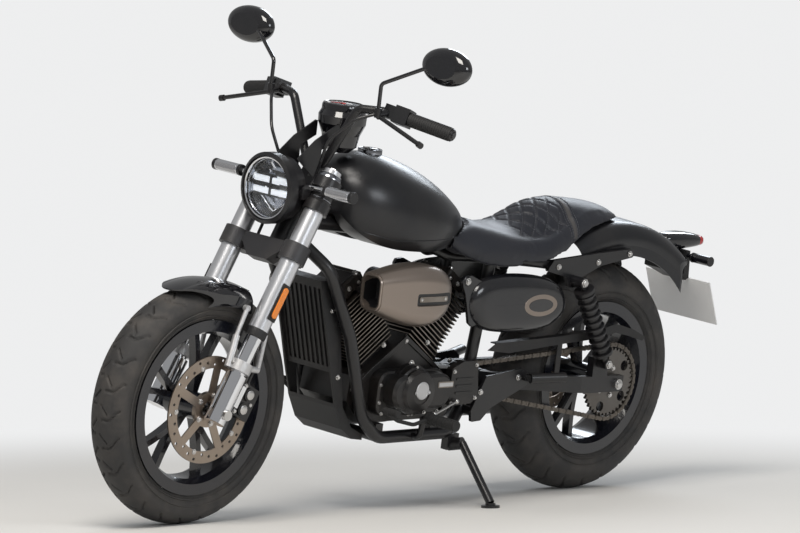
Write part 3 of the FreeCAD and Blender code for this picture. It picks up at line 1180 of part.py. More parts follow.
# the origin goes to the floor under the middle of the whole machine
reach = FreeCAD.BoundBox()
for node, obj, raked in PARTS:
    reach.add(obj.Shape.optimalBoundingBox(False))
to_origin = Placement(Vector(-reach.Center.x, -reach.Center.y, -reach.ZMin), Rotation())
for node, obj, raked in PARTS:
    obj.Placement = to_origin.multiply(obj.Placement)
    solid = obj.Shape
    if solid.isNull() or not solid.isValid() or not solid.Solids:
        raise SystemExit(f"bad shape: {node}")
    solid.exportStep(f"parts/{node}.step")
    print(node, len(solid.Solids), round(solid.Volume / 1000), "cm3")
print("shift", to_origin.Base, "size", reach.XLength, reach.YLength, reach.ZLength)
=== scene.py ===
"""Looks of a small cruiser motorcycle with a bobber seat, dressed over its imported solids.

Two local frames follow from the joints: the upright machine, with the rear wheel's contact line
under its origin, and the raked fork. Pieces are drawn in them in millimetres.
"""
import json
import math

import bmesh
import bpy
from mathutils import Matrix, Vector
from mathutils.bvhtree import BVHTree


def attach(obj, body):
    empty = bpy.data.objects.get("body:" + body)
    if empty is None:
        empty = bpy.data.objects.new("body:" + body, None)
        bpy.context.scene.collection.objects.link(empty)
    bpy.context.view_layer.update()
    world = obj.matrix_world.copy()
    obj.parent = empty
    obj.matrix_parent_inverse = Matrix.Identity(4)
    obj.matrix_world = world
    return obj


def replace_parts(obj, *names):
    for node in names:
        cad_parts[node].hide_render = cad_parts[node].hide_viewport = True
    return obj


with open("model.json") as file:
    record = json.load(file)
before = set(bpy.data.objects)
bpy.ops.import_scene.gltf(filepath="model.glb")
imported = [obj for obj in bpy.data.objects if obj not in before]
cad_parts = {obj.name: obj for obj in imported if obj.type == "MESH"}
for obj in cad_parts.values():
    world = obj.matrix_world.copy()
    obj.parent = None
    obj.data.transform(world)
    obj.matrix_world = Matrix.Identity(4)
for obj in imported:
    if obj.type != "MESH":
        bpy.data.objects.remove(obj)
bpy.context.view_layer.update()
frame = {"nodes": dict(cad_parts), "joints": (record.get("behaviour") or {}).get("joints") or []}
NODES = frame["nodes"]
JOINTS = {joint["name"]: joint for joint in frame["joints"]}
MM = 0.001
TURN = 2 * math.pi

# sizes of the solids that the looks repeat, in millimetres
REAR_RADIUS = 310.5
REAR_WIDTH = 152
REAR_RIM = 190.5
FRONT_RADIUS = 299.2
FRONT_WIDTH = 119
FRONT_RIM = 203
FORK_OFFSET = 45
LEG_Y = 105


def axes_frame(ahead, across, up, origin):
    """A frame in metres from its three unit vectors."""
    matrix = Matrix((ahead, across, up)).transposed().to_4x4()
    matrix.translation = origin
    return matrix


ACROSS = Vector(JOINTS["rear_wheel_spin"]["axis"])
AHEAD = Vector((1, 0, 0))
UP = AHEAD.cross(ACROSS)
REAR_HUB = Vector(JOINTS["rear_wheel_spin"]["pos_m"])
FRONT_HUB = Vector(JOINTS["front_wheel_spin"]["pos_m"])
STEM = Vector(JOINTS["steering"]["axis"])
STEM_AHEAD = ACROSS.cross(STEM)
MACHINE = axes_frame(AHEAD, ACROSS, UP, REAR_HUB - UP * REAR_RADIUS * MM)
FORK = axes_frame(STEM_AHEAD, ACROSS, STEM, FRONT_HUB - STEM_AHEAD * FORK_OFFSET * MM)
REAR_WHEEL = axes_frame(AHEAD, ACROSS, UP, REAR_HUB)
FRONT_WHEEL = axes_frame(AHEAD, ACROSS, UP, FRONT_HUB)

# a body, with the frame its pieces are drawn in
ON_FRAME = ("frame", MACHINE)
ON_STEERING = ("steering", MACHINE)
ON_FORK = ("steering", FORK)
ON_FRONT_WHEEL = ("front_wheel", FRONT_WHEEL)
ON_REAR_WHEEL = ("rear_wheel", REAR_WHEEL)
SIDES = ((1, "left"), (-1, "right"))


# materials


def link(tree, source, target):
    tree.links.new(source, target)


def node(tree, kind, **values):
    """A shader node with its properties and unlinked inputs set by name."""
    made = tree.nodes.new(kind)
    for name, value in values.items():
        if hasattr(made, name):
            setattr(made, name, value)
        else:
            made.inputs[name.replace("_", " ")].default_value = value
    return made


def new_group(name, inputs, outputs):
    """A shader node group with its sockets, and its two end nodes."""
    tree = bpy.data.node_groups.new(name, "ShaderNodeTree")
    for title, kind, value in inputs:
        socket = tree.interface.new_socket(title, in_out="INPUT", socket_type=kind)
        if value is not None:
            socket.default_value = value
    for title, kind in outputs:
        tree.interface.new_socket(title, in_out="OUTPUT", socket_type=kind)
    return tree, tree.nodes.new("NodeGroupInput"), tree.nodes.new("NodeGroupOutput")


def math_node(tree, operation, a, b=None):
    made = tree.nodes.new("ShaderNodeMath")
    made.operation = operation
    for socket, value in zip(made.inputs, (a, b)):
        if value is None:
            continue
        if isinstance(value, (int, float)):
            socket.default_value = value
        else:
            link(tree, value, socket)
    return made.outputs[0]


def build_finish_group():
    """Colour with faint dust and patches, uneven gloss, and a fine height."""
    tree, start, end = new_group("Worn finish", [
        ("Place", "NodeSocketVector", None), ("Color", "NodeSocketColor", (0.5, 0.5, 0.5, 1)),
        ("Dust Color", "NodeSocketColor", (0.35, 0.3, 0.25, 1)), ("Dust", "NodeSocketFloat", 0.1),
        ("Roughness", "NodeSocketFloat", 0.4), ("Gloss Spread", "NodeSocketFloat", 0.1),
        ("Patch Scale", "NodeSocketFloat", 9.0), ("Grain Scale", "NodeSocketFloat", 900.0)],
        [("Color", "NodeSocketColor"), ("Roughness", "NodeSocketFloat"), ("Height", "NodeSocketFloat")])
    patch = node(tree, "ShaderNodeTexNoise", Detail=6.0, Roughness=0.6)
    grain = node(tree, "ShaderNodeTexNoise", Detail=2.0)
    for texture in (patch, grain):
        link(tree, start.outputs["Place"], texture.inputs["Vector"])
    link(tree, start.outputs["Patch Scale"], patch.inputs["Scale"])
    link(tree, start.outputs["Grain Scale"], grain.inputs["Scale"])
    ramp = node(tree, "ShaderNodeMapRange", From_Min=0.42, From_Max=0.68)
    link(tree, patch.outputs["Fac"], ramp.inputs["Value"])
    # dust lies more on what faces up
    geometry = tree.nodes.new("ShaderNodeNewGeometry")
    split = tree.nodes.new("ShaderNodeSeparateXYZ")
    link(tree, geometry.outputs["Normal"], split.inputs["Vector"])
    facing = math_node(tree, "MULTIPLY_ADD", split.outputs["Z"], 0.35)
    facing.node.inputs[2].default_value = 0.65
    amount = math_node(tree, "MULTIPLY", ramp.outputs["Result"], facing)
    amount = math_node(tree, "MULTIPLY", amount, start.outputs["Dust"])
    mix = tree.nodes.new("ShaderNodeMix")
    mix.data_type = "RGBA"
    link(tree, amount, mix.inputs["Factor"])
    link(tree, start.outputs["Color"], mix.inputs["A"])
    link(tree, start.outputs["Dust Color"], mix.inputs["B"])
    spread = math_node(tree, "SUBTRACT", patch.outputs["Fac"], 0.5)
    spread = math_node(tree, "MULTIPLY", spread, start.outputs["Gloss Spread"])
    rough = math_node(tree, "ADD", start.outputs["Roughness"], spread)
    link(tree, mix.outputs["Result"], end.inputs["Color"])
    link(tree, rough, end.inputs["Roughness"])
    link(tree, grain.outputs["Fac"], end.inputs["Height"])
    return tree


def build_leather_group():
    """Pebbled leather height from two sizes of cell."""
    tree, start, end = new_group("Leather grain", [
        ("Place", "NodeSocketVector", None), ("Cell Scale", "NodeSocketFloat", 420.0)],
        [("Height", "NodeSocketFloat")])
    cells = node(tree, "ShaderNodeTexVoronoi", feature="SMOOTH_F1")
    link(tree, start.outputs["Place"], cells.inputs["Vector"])
    link(tree, start.outputs["Cell Scale"], cells.inputs["Scale"])
    folds = node(tree, "ShaderNodeTexNoise", Scale=60.0, Detail=4.0)
    link(tree, start.outputs["Place"], folds.inputs["Vector"])
    link(tree, math_node(tree, "ADD", cells.outputs["Distance"], folds.outputs["Fac"]),
         end.inputs["Height"])
    return tree


FINISH = build_finish_group()
LEATHER = build_leather_group()


def blank_material(name):
    """A new material, with its tree and its surface shader."""
    made = bpy.data.materials.new(name)
    made.use_nodes = True
    return made, made.node_tree, made.node_tree.nodes["Principled BSDF"]


def material(name, color, roughness, metallic=0.0, dust=0.08, spread=0.12, grain=700.0, bump=0.02,
             patch=9.0, dust_color=(0.33, 0.28, 0.23), coat=0.0, coat_roughness=0.05, **shader):
    """A surface that goes through the worn finish group, each with its own values."""
    made, tree, surface = blank_material(name)
    place = tree.nodes.new("ShaderNodeTexCoord")
    worn = tree.nodes.new("ShaderNodeGroup")
    worn.node_tree = FINISH
    link(tree, place.outputs["Object"], worn.inputs["Place"])
    for title, value in (("Color", (*color, 1)), ("Dust Color", (*dust_color, 1)), ("Dust", dust),
                         ("Roughness", roughness), ("Gloss Spread", spread), ("Patch Scale", patch),
                         ("Grain Scale", grain)):
        worn.inputs[title].default_value = value
    link(tree, worn.outputs["Color"], surface.inputs["Base Color"])
    link(tree, worn.outputs["Roughness"], surface.inputs["Roughness"])
    raise_up = node(tree, "ShaderNodeBump", Strength=bump, Distance=0.001)
    link(tree, worn.outputs["Height"], raise_up.inputs["Height"])
    link(tree, raise_up.outputs["Normal"], surface.inputs["Normal"])
    surface.inputs["Metallic"].default_value = metallic
    surface.inputs["Coat Weight"].default_value = coat
    surface.inputs["Coat Roughness"].default_value = coat_roughness
    for title, value in shader.items():
        surface.inputs[title.replace("_", " ")].default_value = value
    return made


def clear_glass():
    """Moulded glass, a little uneven in its gloss."""
    made, tree, surface = blank_material("headlight glass")
    place = tree.nodes.new("ShaderNodeTexCoord")
    tint = node(tree, "ShaderNodeTexNoise", Scale=25.0)
    link(tree, place.outputs["Object"], tint.inputs["Vector"])
    shade = node(tree, "ShaderNodeMapRange", To_Min=0.04, To_Max=0.08)
    link(tree, tint.outputs["Fac"], shade.inputs["Value"])
    link(tree, shade.outputs["Result"], surface.inputs["Roughness"])
    surface.inputs["Base Color"].default_value = (0.98, 0.99, 1.0, 1)
    surface.inputs["Transmission Weight"].default_value = 1.0
    surface.inputs["IOR"].default_value = 1.49
    return made


RUBBER = material("tyre rubber", (0.03, 0.029, 0.029), 0.7, dust=0.55, bump=0.3, grain=500,
                  dust_color=(0.12, 0.104, 0.09), patch=14)
WHEEL_BLACK = material("wheel gloss black", (0.006, 0.007, 0.012), 0.24, dust=0.1, coat=0.6,
                       dust_color=(0.12, 0.09, 0.07))
DISC_STEEL = material("disc steel", (0.36, 0.3, 0.25), 0.34, metallic=1.0, spread=0.3, grain=250,
                      bump=0.08, dust=0.4, dust_color=(0.2, 0.14, 0.09))
SPROCKET = material("oiled sprocket", (0.16, 0.15, 0.14), 0.4, metallic=0.9, dust=0.5,
                    dust_color=(0.08, 0.06, 0.045))
CHAIN_STEEL = material("oiled chain", (0.13, 0.115, 0.1), 0.38, metallic=0.8, dust=0.3)
PLATED = material("plated steel", (0.62, 0.61, 0.6), 0.28, metallic=1.0, spread=0.2)
CHROME = material("chrome", (0.86, 0.87, 0.9), 0.06, metallic=1.0, dust=0.03, spread=0.04, bump=0.0)
DARK_CHROME = material("dark chrome", (0.36, 0.37, 0.4), 0.14, metallic=1.0, dust=0.03, spread=0.04,
                       bump=0.0)
ANODISED = material("bright anodised tube", (0.72, 0.73, 0.76), 0.3, metallic=0.85, dust=0.04,
                    bump=0.03)
CAST_SILVER = material("cast silver", (0.6, 0.6, 0.61), 0.42, metallic=0.75, bump=0.2, grain=1400)
CAST_GREY = material("grey cast clamp", (0.05, 0.05, 0.054), 0.42, metallic=0.5, bump=0.25, grain=1600)
BLACK_METAL = material("satin black metal", (0.007, 0.007, 0.0085), 0.34, dust=0.06, coat=0.25,
                       coat_roughness=0.2, dust_color=(0.16, 0.13, 0.11))
ENGINE_BLACK = material("engine black", (0.009, 0.0085, 0.009), 0.36, metallic=0.2, dust=0.16, bump=0.15,
                        dust_color=(0.12, 0.09, 0.07), grain=1500, coat=0.3, coat_roughness=0.25)
FIN_BLACK = material("finned barrel", (0.012, 0.011, 0.0105), 0.45, metallic=0.3, dust=0.4, bump=0.2,
                     dust_color=(0.13, 0.095, 0.07), grain=1500)
# bronze metal: the badges' own trim, and on the fin edges a brightness that is painted highlight of the
# lit fin tips
BRONZE_TRIM_AND_FIN_HIGHLIGHT = material("bronze trim and painted fin highlight", (0.3, 0.27, 0.24), 0.42, metallic=0.9, dust=0.4, spread=0.3,
                    dust_color=(0.12, 0.08, 0.05), patch=22)
BRONZE = material("bronze grey paint", (0.3, 0.25, 0.215), 0.3, metallic=0.8, dust=0.05, spread=0.04,
                  coat=0.2, coat_roughness=0.15, bump=0.01)
TANK_PAINT = material("tank paint", (0.012, 0.0125, 0.015), 0.34, metallic=0.3, dust=0.04, spread=0.05,
                      coat=0.3, coat_roughness=0.28, grain=2500, bump=0.03)
COVER_PAINT = material("side cover paint", (0.01, 0.0105, 0.0135), 0.22, metallic=0.3, dust=0.04,
                       spread=0.05, coat=0.7, coat_roughness=0.1, grain=2500, bump=0.02)
GLOSS_BLACK = material("gloss black", (0.005, 0.005, 0.007), 0.12, dust=0.04, coat=0.8, bump=0.0,
                       dust_color=(0.15, 0.13, 0.11))
BLACK_PLASTIC = material("moulded black plastic", (0.011, 0.011, 0.012), 0.5, bump=0.3, grain=1800,
                         dust=0.12, dust_color=(0.14, 0.115, 0.095))
GRIP_RUBBER = material("grip rubber", (0.015, 0.015, 0.0155), 0.7, bump=0.2, dust_color=(0.1, 0.09, 0.08))
PLATE_WHITE = material("blank white plate", (0.8, 0.8, 0.8), 0.4, dust=0.05)
AMBER = material("amber reflector", (0.85, 0.24, 0.02), 0.25, coat=0.6, dust=0.04, bump=0.2, grain=350)
RED_LENS = material("red lamp lens", (0.5, 0.008, 0.012), 0.15, coat=0.8, dust=0.04, bump=0.1, grain=300)
CLEAR_GLASS = clear_glass()
REFLECTOR = material("lamp reflector", (0.5, 0.52, 0.57), 0.2, metallic=1.0, bump=0.6, grain=80, dust=0.0)
LAMP_WHITE = material("lamp row", (0.9, 0.93, 1.0), 0.2, Emission_Strength=0.45,
                      Emission_Color=(0.9, 0.95, 1.0, 1))
MIRROR_GLASS = material("mirror glass", (0.75, 0.78, 0.82), 0.02, metallic=1.0, dust=0.02, bump=0.0)
THREAD = material("seat thread", (0.13, 0.135, 0.15), 0.7, dust=0.0)
SMOKED = material("smoked lens", (0.5, 0.5, 0.52), 0.1, metallic=0.8, dust=0.02, bump=0.15, grain=300,
                  coat=0.8)
DIAL_WHITE = material("dial marks", (0.75, 0.76, 0.78), 0.4, dust=0.0)
RED_MARK = material("red mark", (0.45, 0.02, 0.02), 0.35, dust=0.0)


def leather():
    """Black seat cover: pebbled grain over the worn finish."""
    made = material("seat cover", (0.009, 0.0105, 0.017), 0.46, dust=0.04, spread=0.15, Sheen_Weight=0.06,
                    dust_color=(0.12, 0.1, 0.09))
    tree = made.node_tree
    grain = tree.nodes.new("ShaderNodeGroup")
    grain.node_tree = LEATHER
    place = next(item for item in tree.nodes if item.type == "TEX_COORD")
    bump = next(item for item in tree.nodes if item.type == "BUMP")
    link(tree, place.outputs["Object"], grain.inputs["Place"])
    link(tree, grain.outputs["Height"], bump.inputs["Height"])
    bump.inputs["Strength"].default_value = 0.35
    bump.inputs["Distance"].default_value = 0.0006
    return made


SEAT_COVER = leather()
BAND_COVER = material("seat band", (0.06, 0.056, 0.056), 0.5, dust=0.05, bump=0.3, grain=900)


def dress(material_made, *names):
    """Gives these CAD nodes a better material."""
    for name in names:
        for place in NODES[name].material_slots:
            place.link = "OBJECT"
            place.material = material_made


# pieces drawn in code


def in_scene(name, data):
    """A new object of this mesh, lamp or camera, in the scene."""
    obj = bpy.data.objects.new(name, data)
    bpy.context.scene.collection.objects.link(obj)
    return obj


def piece(name, mesh, made, slot, on=ON_FRAME, bevel=0.0, smooth=35):
    """Puts a mesh drawn in millimetres of a local frame on its body."""
    body, place = on
    mesh.transform(Matrix.Scale(MM, 4))
    mesh.transform(place)
    mesh.materials.append(made)
    for face in mesh.polygons:
        face.use_smooth = True
    obj = in_scene(name, mesh)
    if bevel:
        edge = obj.modifiers.new("soft edges", "BEVEL")
        edge.width = bevel * MM
        edge.segments = 2
        edge.limit_method = "ANGLE"
        edge.angle_limit = math.radians(40)
        edge.harden_normals = True
    mesh.set_sharp_from_angle(angle=math.radians(smooth))
    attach(obj, body)
    return obj


def mesh_of(name, vertices, faces, turn_out=False):
    """A mesh of these faces, which a closed form may have turned outward."""
    mesh = bpy.data.meshes.new(name)
    mesh.from_pydata([tuple(vertex) for vertex in vertices], [], faces)
    mesh.validate()
    if turn_out:
        form = bmesh.new()
        form.from_mesh(mesh)
        bmesh.ops.recalc_face_normals(form, faces=form.faces)
        form.to_mesh(mesh)
        form.free()
    return mesh


def hang(child, parent):
    """Lets a piece count as part of another one."""
    child.parent = parent
    child.matrix_parent_inverse = parent.matrix_world.inverted()


def grid_faces(rows, columns, wrap_rows=False, wrap_columns=False):
    """Quads over a grid of vertices, row after row."""
    faces = []
    for row in range(rows if wrap_rows else rows - 1):
        for column in range(columns if wrap_columns else columns - 1):
            right = (column + 1) % columns
            below = (row + 1) % rows
            faces.append((row * columns + column, row * columns + right,
                          below * columns + right, below * columns + column))
    return faces


class Kit:
    """Collects small solids into one mesh."""

    def __init__(self):
        self.mesh = bmesh.new()

    def rod(self, start, end, radius, end_radius=None, sides=20):
        start, end = Vector(start), Vector(end)
        turn = (end - start).to_track_quat("Z", "Y").to_matrix()
        spokes = [turn @ Vector((math.cos(TURN * n / sides), math.sin(TURN * n / sides), 0))
                  for n in range(sides)]
        low = [self.mesh.verts.new(start + spoke * radius) for spoke in spokes]
        high_radius = radius if end_radius is None else end_radius
        high = [self.mesh.verts.new(end + spoke * high_radius) for spoke in spokes]
        self.mesh.faces.new(low[::-1])
        self.mesh.faces.new(high)
        for n in range(sides):
            after = (n + 1) % sides
            self.mesh.faces.new((low[n], low[after], high[after], high[n]))

    def bolt(self, at, way, radius, height, sides=24):
        """A bolt's head on its washer."""
        at = Vector(at)
        reach = Vector(way).normalized() * height
        seat, shoulder = at + reach * 0.3, at + reach * 0.85
        self.rod(at, seat, radius * 1.35, sides=sides)
        self.rod(seat, shoulder, radius, sides=sides)
        self.rod(shoulder, at + reach, radius, radius * 0.82, sides=sides)

    def side_bolts(self, places, y, radius, height, sides=24, ways=(-1, 1)):
        """Bolt heads at (x, z) places, pointing out of one flank or both."""
        for way in ways:
            for x, z in places:
                self.bolt((x, way * y, z), (0, way, 0), radius, height, sides)

    def ball(self, at, radius):
        angles = [math.pi * n / 8 for n in range(1, 8)]
        rings = [(radius * math.sin(angle), -radius * math.cos(angle)) for angle in angles]
        self.ring([(0.01, -radius)] + rings + [(0.01, radius)], at, (0, 1, 0), 16)

    def tube(self, points, radius, sides=12, closed=False):
        """A round rod through points, its ends capped."""
        rings = []
        points = [Vector(point) for point in points]
        count = len(points)
        for n, point in enumerate(points):
            before = points[n - 1] if n or closed else point
            after = points[(n + 1) % count] if n + 1 < count or closed else point
            turn = (after - before).to_track_quat("Z", "Y").to_matrix()
            rings.append([self.mesh.verts.new(point + turn @ Vector((
                radius * math.cos(TURN * k / sides), radius * math.sin(TURN * k / sides), 0)))
                for k in range(sides)])
        for n in range(count if closed else count - 1):
            here, after = rings[n], rings[(n + 1) % count]
            for k in range(sides):
                self.mesh.faces.new((here[k], here[(k + 1) % sides], after[(k + 1) % sides], after[k]))
        if not closed:
            self.mesh.faces.new(rings[0][::-1])
            self.mesh.faces.new(rings[-1])

    def box(self, low, high):
        self.slab([(low[0], low[2]), (high[0], low[2]), (high[0], high[2]), (low[0], high[2])],
                  low[1], high[1] - low[1])

    def ring(self, profile, axis_at, axis_way, steps=64):
        """A closed (radius, along) profile turned round an axis."""
        way = Vector(axis_way).normalized()
        turn = way.to_track_quat("Z", "Y").to_matrix()
        rings = []
        for step in range(steps):
            angle = TURN * step / steps
            spoke = Vector((math.cos(angle), math.sin(angle), 0))
            places = [spoke * radius + Vector((0, 0, along)) for radius, along in profile]
            rings.append([self.mesh.verts.new(Vector(axis_at) + turn @ place) for place in places])
        count = len(profile)
        for step in range(steps):
            here, after = rings[step], rings[(step + 1) % steps]
            for n in range(count):
                self.mesh.faces.new((here[n], after[n], after[(n + 1) % count], here[(n + 1) % count]))

    def slab(self, outline, y, thick):
        """An (x, z) outline given thickness along Y."""
        near = [self.mesh.verts.new((x, y, z)) for x, z in outline]
        far = [self.mesh.verts.new((x, y + thick, z)) for x, z in outline]
        self.mesh.faces.new(near)
        self.mesh.faces.new(far[::-1])
        for n in range(len(outline)):
            after = (n + 1) % len(outline)
            self.mesh.faces.new((near[n], far[n], far[after], near[after]))

    def plate(self, outline, side, inner, outer):
        """An (x, z) outline between two distances out from the middle plane."""
        near, far = sorted((side * inner, side * outer))
        self.slab(outline, near, far - near)

    def done(self, name, made, slot, on=ON_FRAME, **looks):
        """Makes a piece of what was collected, and is empty again for the next one."""
        bmesh.ops.recalc_face_normals(self.mesh, faces=self.mesh.faces)
        mesh = bpy.data.meshes.new(name)
        self.mesh.to_mesh(mesh)
        self.mesh.clear()
        return piece(name, mesh, made, slot, on, **looks)


def spaced(count, radius, start=0.0):
    """Points round a circle in the wheel's plane, as (x, z)."""
    return [(radius * math.cos(start + TURN * n / count), radius * math.sin(start + TURN * n / count))
            for n in range(count)]


# tyres with their tread

SHOULDER = 4
BEAD_RISE = 17
WALL_FOOT = 0.74
WALL_STEPS = 10
TREAD_STEPS = 44
TYRE_STEPS = 640
GROOVE_DEPTH = 4.6
SWEPT_WIDTH = 0.07
HOOK_WIDTH = 0.06


def crown_profile(radius, width, rim, crown):
    """The outer wall from bead to bead as (radius, y, share of the tread)."""
    half = width / 2 - SHOULDER
    shoulder = radius - (crown - math.sqrt(crown ** 2 - half ** 2))
    bead = rim + BEAD_RISE
    foot = width / 2 * WALL_FOOT
    wall = []
    for n in range(WALL_STEPS):
        share = n / WALL_STEPS
        bulge = math.sin(share * math.pi * 0.62) / math.sin(0.62 * math.pi)
        wall.append((bead + (shoulder - bead) * share, foot + (half - foot) * min(bulge, 1.25), 0.0))
    tread = []
    for n in range(TREAD_STEPS + 1):
        y = half * (1 - 2 * n / TREAD_STEPS)
        tread.append((radius - (crown - math.sqrt(crown ** 2 - y ** 2)), y, 1.0))
    return wall + tread + [(r, -y, t) for r, y, t in reversed(wall)]


def groove(angle, y, half, count):
    """How deep the tread is cut at a place, from 0 to 1: long swept cuts, and hooks near the middle."""
    across = abs(y) / half
    phase = angle / TURN * count + (0.0 if y >= 0 else 0.5)
    sweep = 0.55 * across + 0.08 * math.sin(across * 9)
    swept_cut = hook_cut = 0.0
    if 0.14 < across < 0.9:
        swept_cut = max(0.0, 1 - abs((phase - sweep) % 1.0 - 0.5) / SWEPT_WIDTH)
    if 0.05 < across < 0.42:
        hook_cut = max(0.0, 1 - abs((phase + 0.9 * across + 0.25) % 1.0 - 0.5) / HOOK_WIDTH)
    return min(1.0, 1.8 * max(swept_cut, hook_cut))


def tyre(end, radius, width, rim, crown, count, on):
    """A tyre's tread and walls, with the raised rings of the walls."""
    profile = crown_profile(radius, width, rim, crown)
    vertices = []
    for step in range(TYRE_STEPS):
        angle = TURN * step / TYRE_STEPS
        for height, y, tread in profile:
            cut = GROOVE_DEPTH * groove(angle, y, width / 2 - SHOULDER, count) * tread if tread else 0.0
            reach = height - 0.3 - cut
            vertices.append((reach * math.cos(angle), y, reach * math.sin(angle)))
    name = f"{end}_tyre_tread"
    mesh = mesh_of(name, vertices, grid_faces(TYRE_STEPS, len(profile), wrap_rows=True))
    obj = piece(name, mesh, RUBBER, "tyre", on, smooth=50)
    kit = Kit()
    for rise in (4, 9, 24):
        foot = rim + BEAD_RISE + rise
        y = width / 2 * (WALL_FOOT + 0.26 * math.sin(min(rise / 20, 1) * math.pi / 2)) - 1.2
        for side in (-1, 1):
            kit.ring([(foot, 0), (foot + 1.2, side * 1.4), (foot + 2.4, 0)],
                     (0, side * y, 0), (0, 1, 0), steps=120)
    hang(kit.done(name + "_rings", RUBBER, "tyre", on), obj)
    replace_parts(obj, f"{end}_tyre")


tyre("front", FRONT_RADIUS, FRONT_WIDTH, FRONT_RIM, 64, 26, ON_FRONT_WHEEL)
tyre("rear", REAR_RADIUS, REAR_WIDTH, REAR_RIM, 76, 24, ON_REAR_WHEEL)

# finishes of the solids that stay
dress(WHEEL_BLACK, "front_rim", "rear_rim")
dress(DISC_STEEL, "front_disc", "rear_disc")
dress(SPROCKET, "rear_sprocket")
dress(CHAIN_STEEL, "chain")
dress(PLATED, "front_axle", "rear_axle")
dress(ANODISED, "fork_upper_tubes")
dress(CHROME, "fork_lower_tubes", "front_signals")
dress(CAST_SILVER, "fender_stays")
dress(CAST_GREY, "lower_clamp")
dress(BLACK_METAL, "upper_clamp", "handlebar", "main_frame", "swingarm", "shock_absorbers",
      "fender_struts", "headlight_bowl", "headlight_bracket", "front_caliper", "rear_caliper",
      "peg_hangers", "side_stand", "hand_controls", "speedometer_bracket", "exhaust_pipes", "muffler")
dress(ENGINE_BLACK, "crankcase", "left_engine_cover", "right_engine_cover", "sprocket_cover")
dress(FIN_BLACK, "front_cylinder", "rear_cylinder")
dress(BRONZE, "air_cleaner")
dress(TANK_PAINT, "fuel_tank", "fuel_cap", "rear_fender")
dress(COVER_PAINT, "left_side_cover", "right_side_cover")
dress(GLOSS_BLACK, "front_fender", "mirrors", "speedometer", "rear_signals", "tail_light")
dress(BLACK_PLASTIC, "radiator_shroud", "plate_bracket", "chain_guard", "intake", "radiator")
dress(GRIP_RUBBER, "grips", "rider_pegs")
dress(PLATE_WHITE, "number_plate")
dress(AMBER, "fork_reflectors")
dress(RED_LENS, "tail_lens")
dress(CLEAR_GLASS, "headlight_lens")
dress(SEAT_COVER, "seat")


# chain: rollers, pins and waisted plates on the pitch line

CHAIN_Y = 105
CHAIN_LINKS = 104
REAR_PITCH = 100
FRONT_PITCH = 32
FRONT_SPROCKET = Vector((578, 0, 348))
REAR_SPROCKET = Vector((0, 0, REAR_RADIUS))


def sideways(y):
    return Vector((0, y, 0))


def pitch_line(count):
    """Evenly spaced pins on the belt line round both sprockets."""
    run = FRONT_SPROCKET - REAR_SPROCKET
    span = run.length
    tilt = math.atan2(run.z, run.x)
    lift = math.acos((REAR_PITCH - FRONT_PITCH) / span)
    straight = span * math.sin(lift)
    rear_arc = REAR_PITCH * (TURN - 2 * lift)
    front_arc = FRONT_PITCH * 2 * lift
    total = 2 * straight + rear_arc + front_arc

    def rear(angle):
        return REAR_SPROCKET + REAR_PITCH * Vector((math.cos(angle), 0, math.sin(angle)))

    def front(angle):
        return FRONT_SPROCKET + FRONT_PITCH * Vector((math.cos(angle), 0, math.sin(angle)))

    pins = []
    for n in range(count):
        s = total * n / count
        if s < rear_arc:
            pins.append(rear(tilt + lift + s / REAR_PITCH))
        elif s < rear_arc + straight:
            pins.append(rear(tilt - lift).lerp(front(tilt - lift), (s - rear_arc) / straight))
        elif s < rear_arc + straight + front_arc:
            pins.append(front(tilt - lift + (s - rear_arc - straight) / FRONT_PITCH))
        else:
            share = (s - rear_arc - straight - front_arc) / straight
            pins.append(front(tilt + lift).lerp(rear(tilt + lift), share))
    return pins


def link_outline(start, end, radius=6.4, waist=4.4):
    """Outline of a chain plate: round ends and a waist."""
    run = end - start
    angle = math.atan2(run.z, run.x)
    middle = (start + end) / 2
    points = []
    for centre, turn in ((end, 0), (start, math.pi)):
        for n in range(7):
            swing = angle + turn + math.radians(-72 + 24 * n)
            points.append((centre.x + radius * math.cos(swing), centre.z + radius * math.sin(swing)))
        swing = angle + turn + math.pi / 2
        points.append((middle.x + waist * math.cos(swing), middle.z + waist * math.sin(swing)))
    return points


def teeth_outline(centre, tip, count, gap_depth):
    points = []
    for n in range(count):
        for share, depth in ((-0.1, 0), (0.1, 0), (0.3, 0.75), (0.42, 1), (0.58, 1), (0.7, 0.75)):
            angle = TURN * (n + share) / count
            reach = tip - gap_depth * depth
            points.append((centre.x + reach * math.cos(angle), centre.z + reach * math.sin(angle)))
    return points


def drive_chain():
    """The chain's plates, rollers and pins, with the front sprocket and its nut."""
    pins = pitch_line(CHAIN_LINKS)
    kit = Kit()
    for n, pin in enumerate(pins):
        after = pins[(n + 1) % CHAIN_LINKS]
        offset = 3.9 if n % 2 else 5.7
        for side in (-1, 1):
            kit.slab(link_outline(pin, after), CHAIN_Y + side * offset - 0.8, 1.6)
        for half, radius, sides in ((3, 4.9, 12), (7.3, 2.5, 10)):
            kit.rod(pin + sideways(CHAIN_Y - half), pin + sideways(CHAIN_Y + half), radius, sides=sides)
    kit.slab(teeth_outline(FRONT_SPROCKET, 30, 13, 7), CHAIN_Y - 2.6, 5.2)
    for low, high, radius, end_radius, sides in ((84.5, 116.5, 12, 12, 32), (110, 116.8, 18, 16, 6)):
        kit.rod(FRONT_SPROCKET + sideways(low), FRONT_SPROCKET + sideways(high), radius, end_radius,
                sides)
    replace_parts(kit.done("drive_chain", CHAIN_STEEL, "sprocket_steel"), "chain")


drive_chain()


# headlight: reflector, lamp rows and rim behind the clear lens

LAMP = Vector((1250, 0, 834))


def lamp_ring(name, made, profile):
    """Turned round the lamp's axis from (radius, back) pairs."""
    kit = Kit()
    kit.ring([(radius, -back) for radius, back in profile], LAMP, (1, 0, 0), 72)
    kit.done(name, made, "chrome", ON_STEERING)


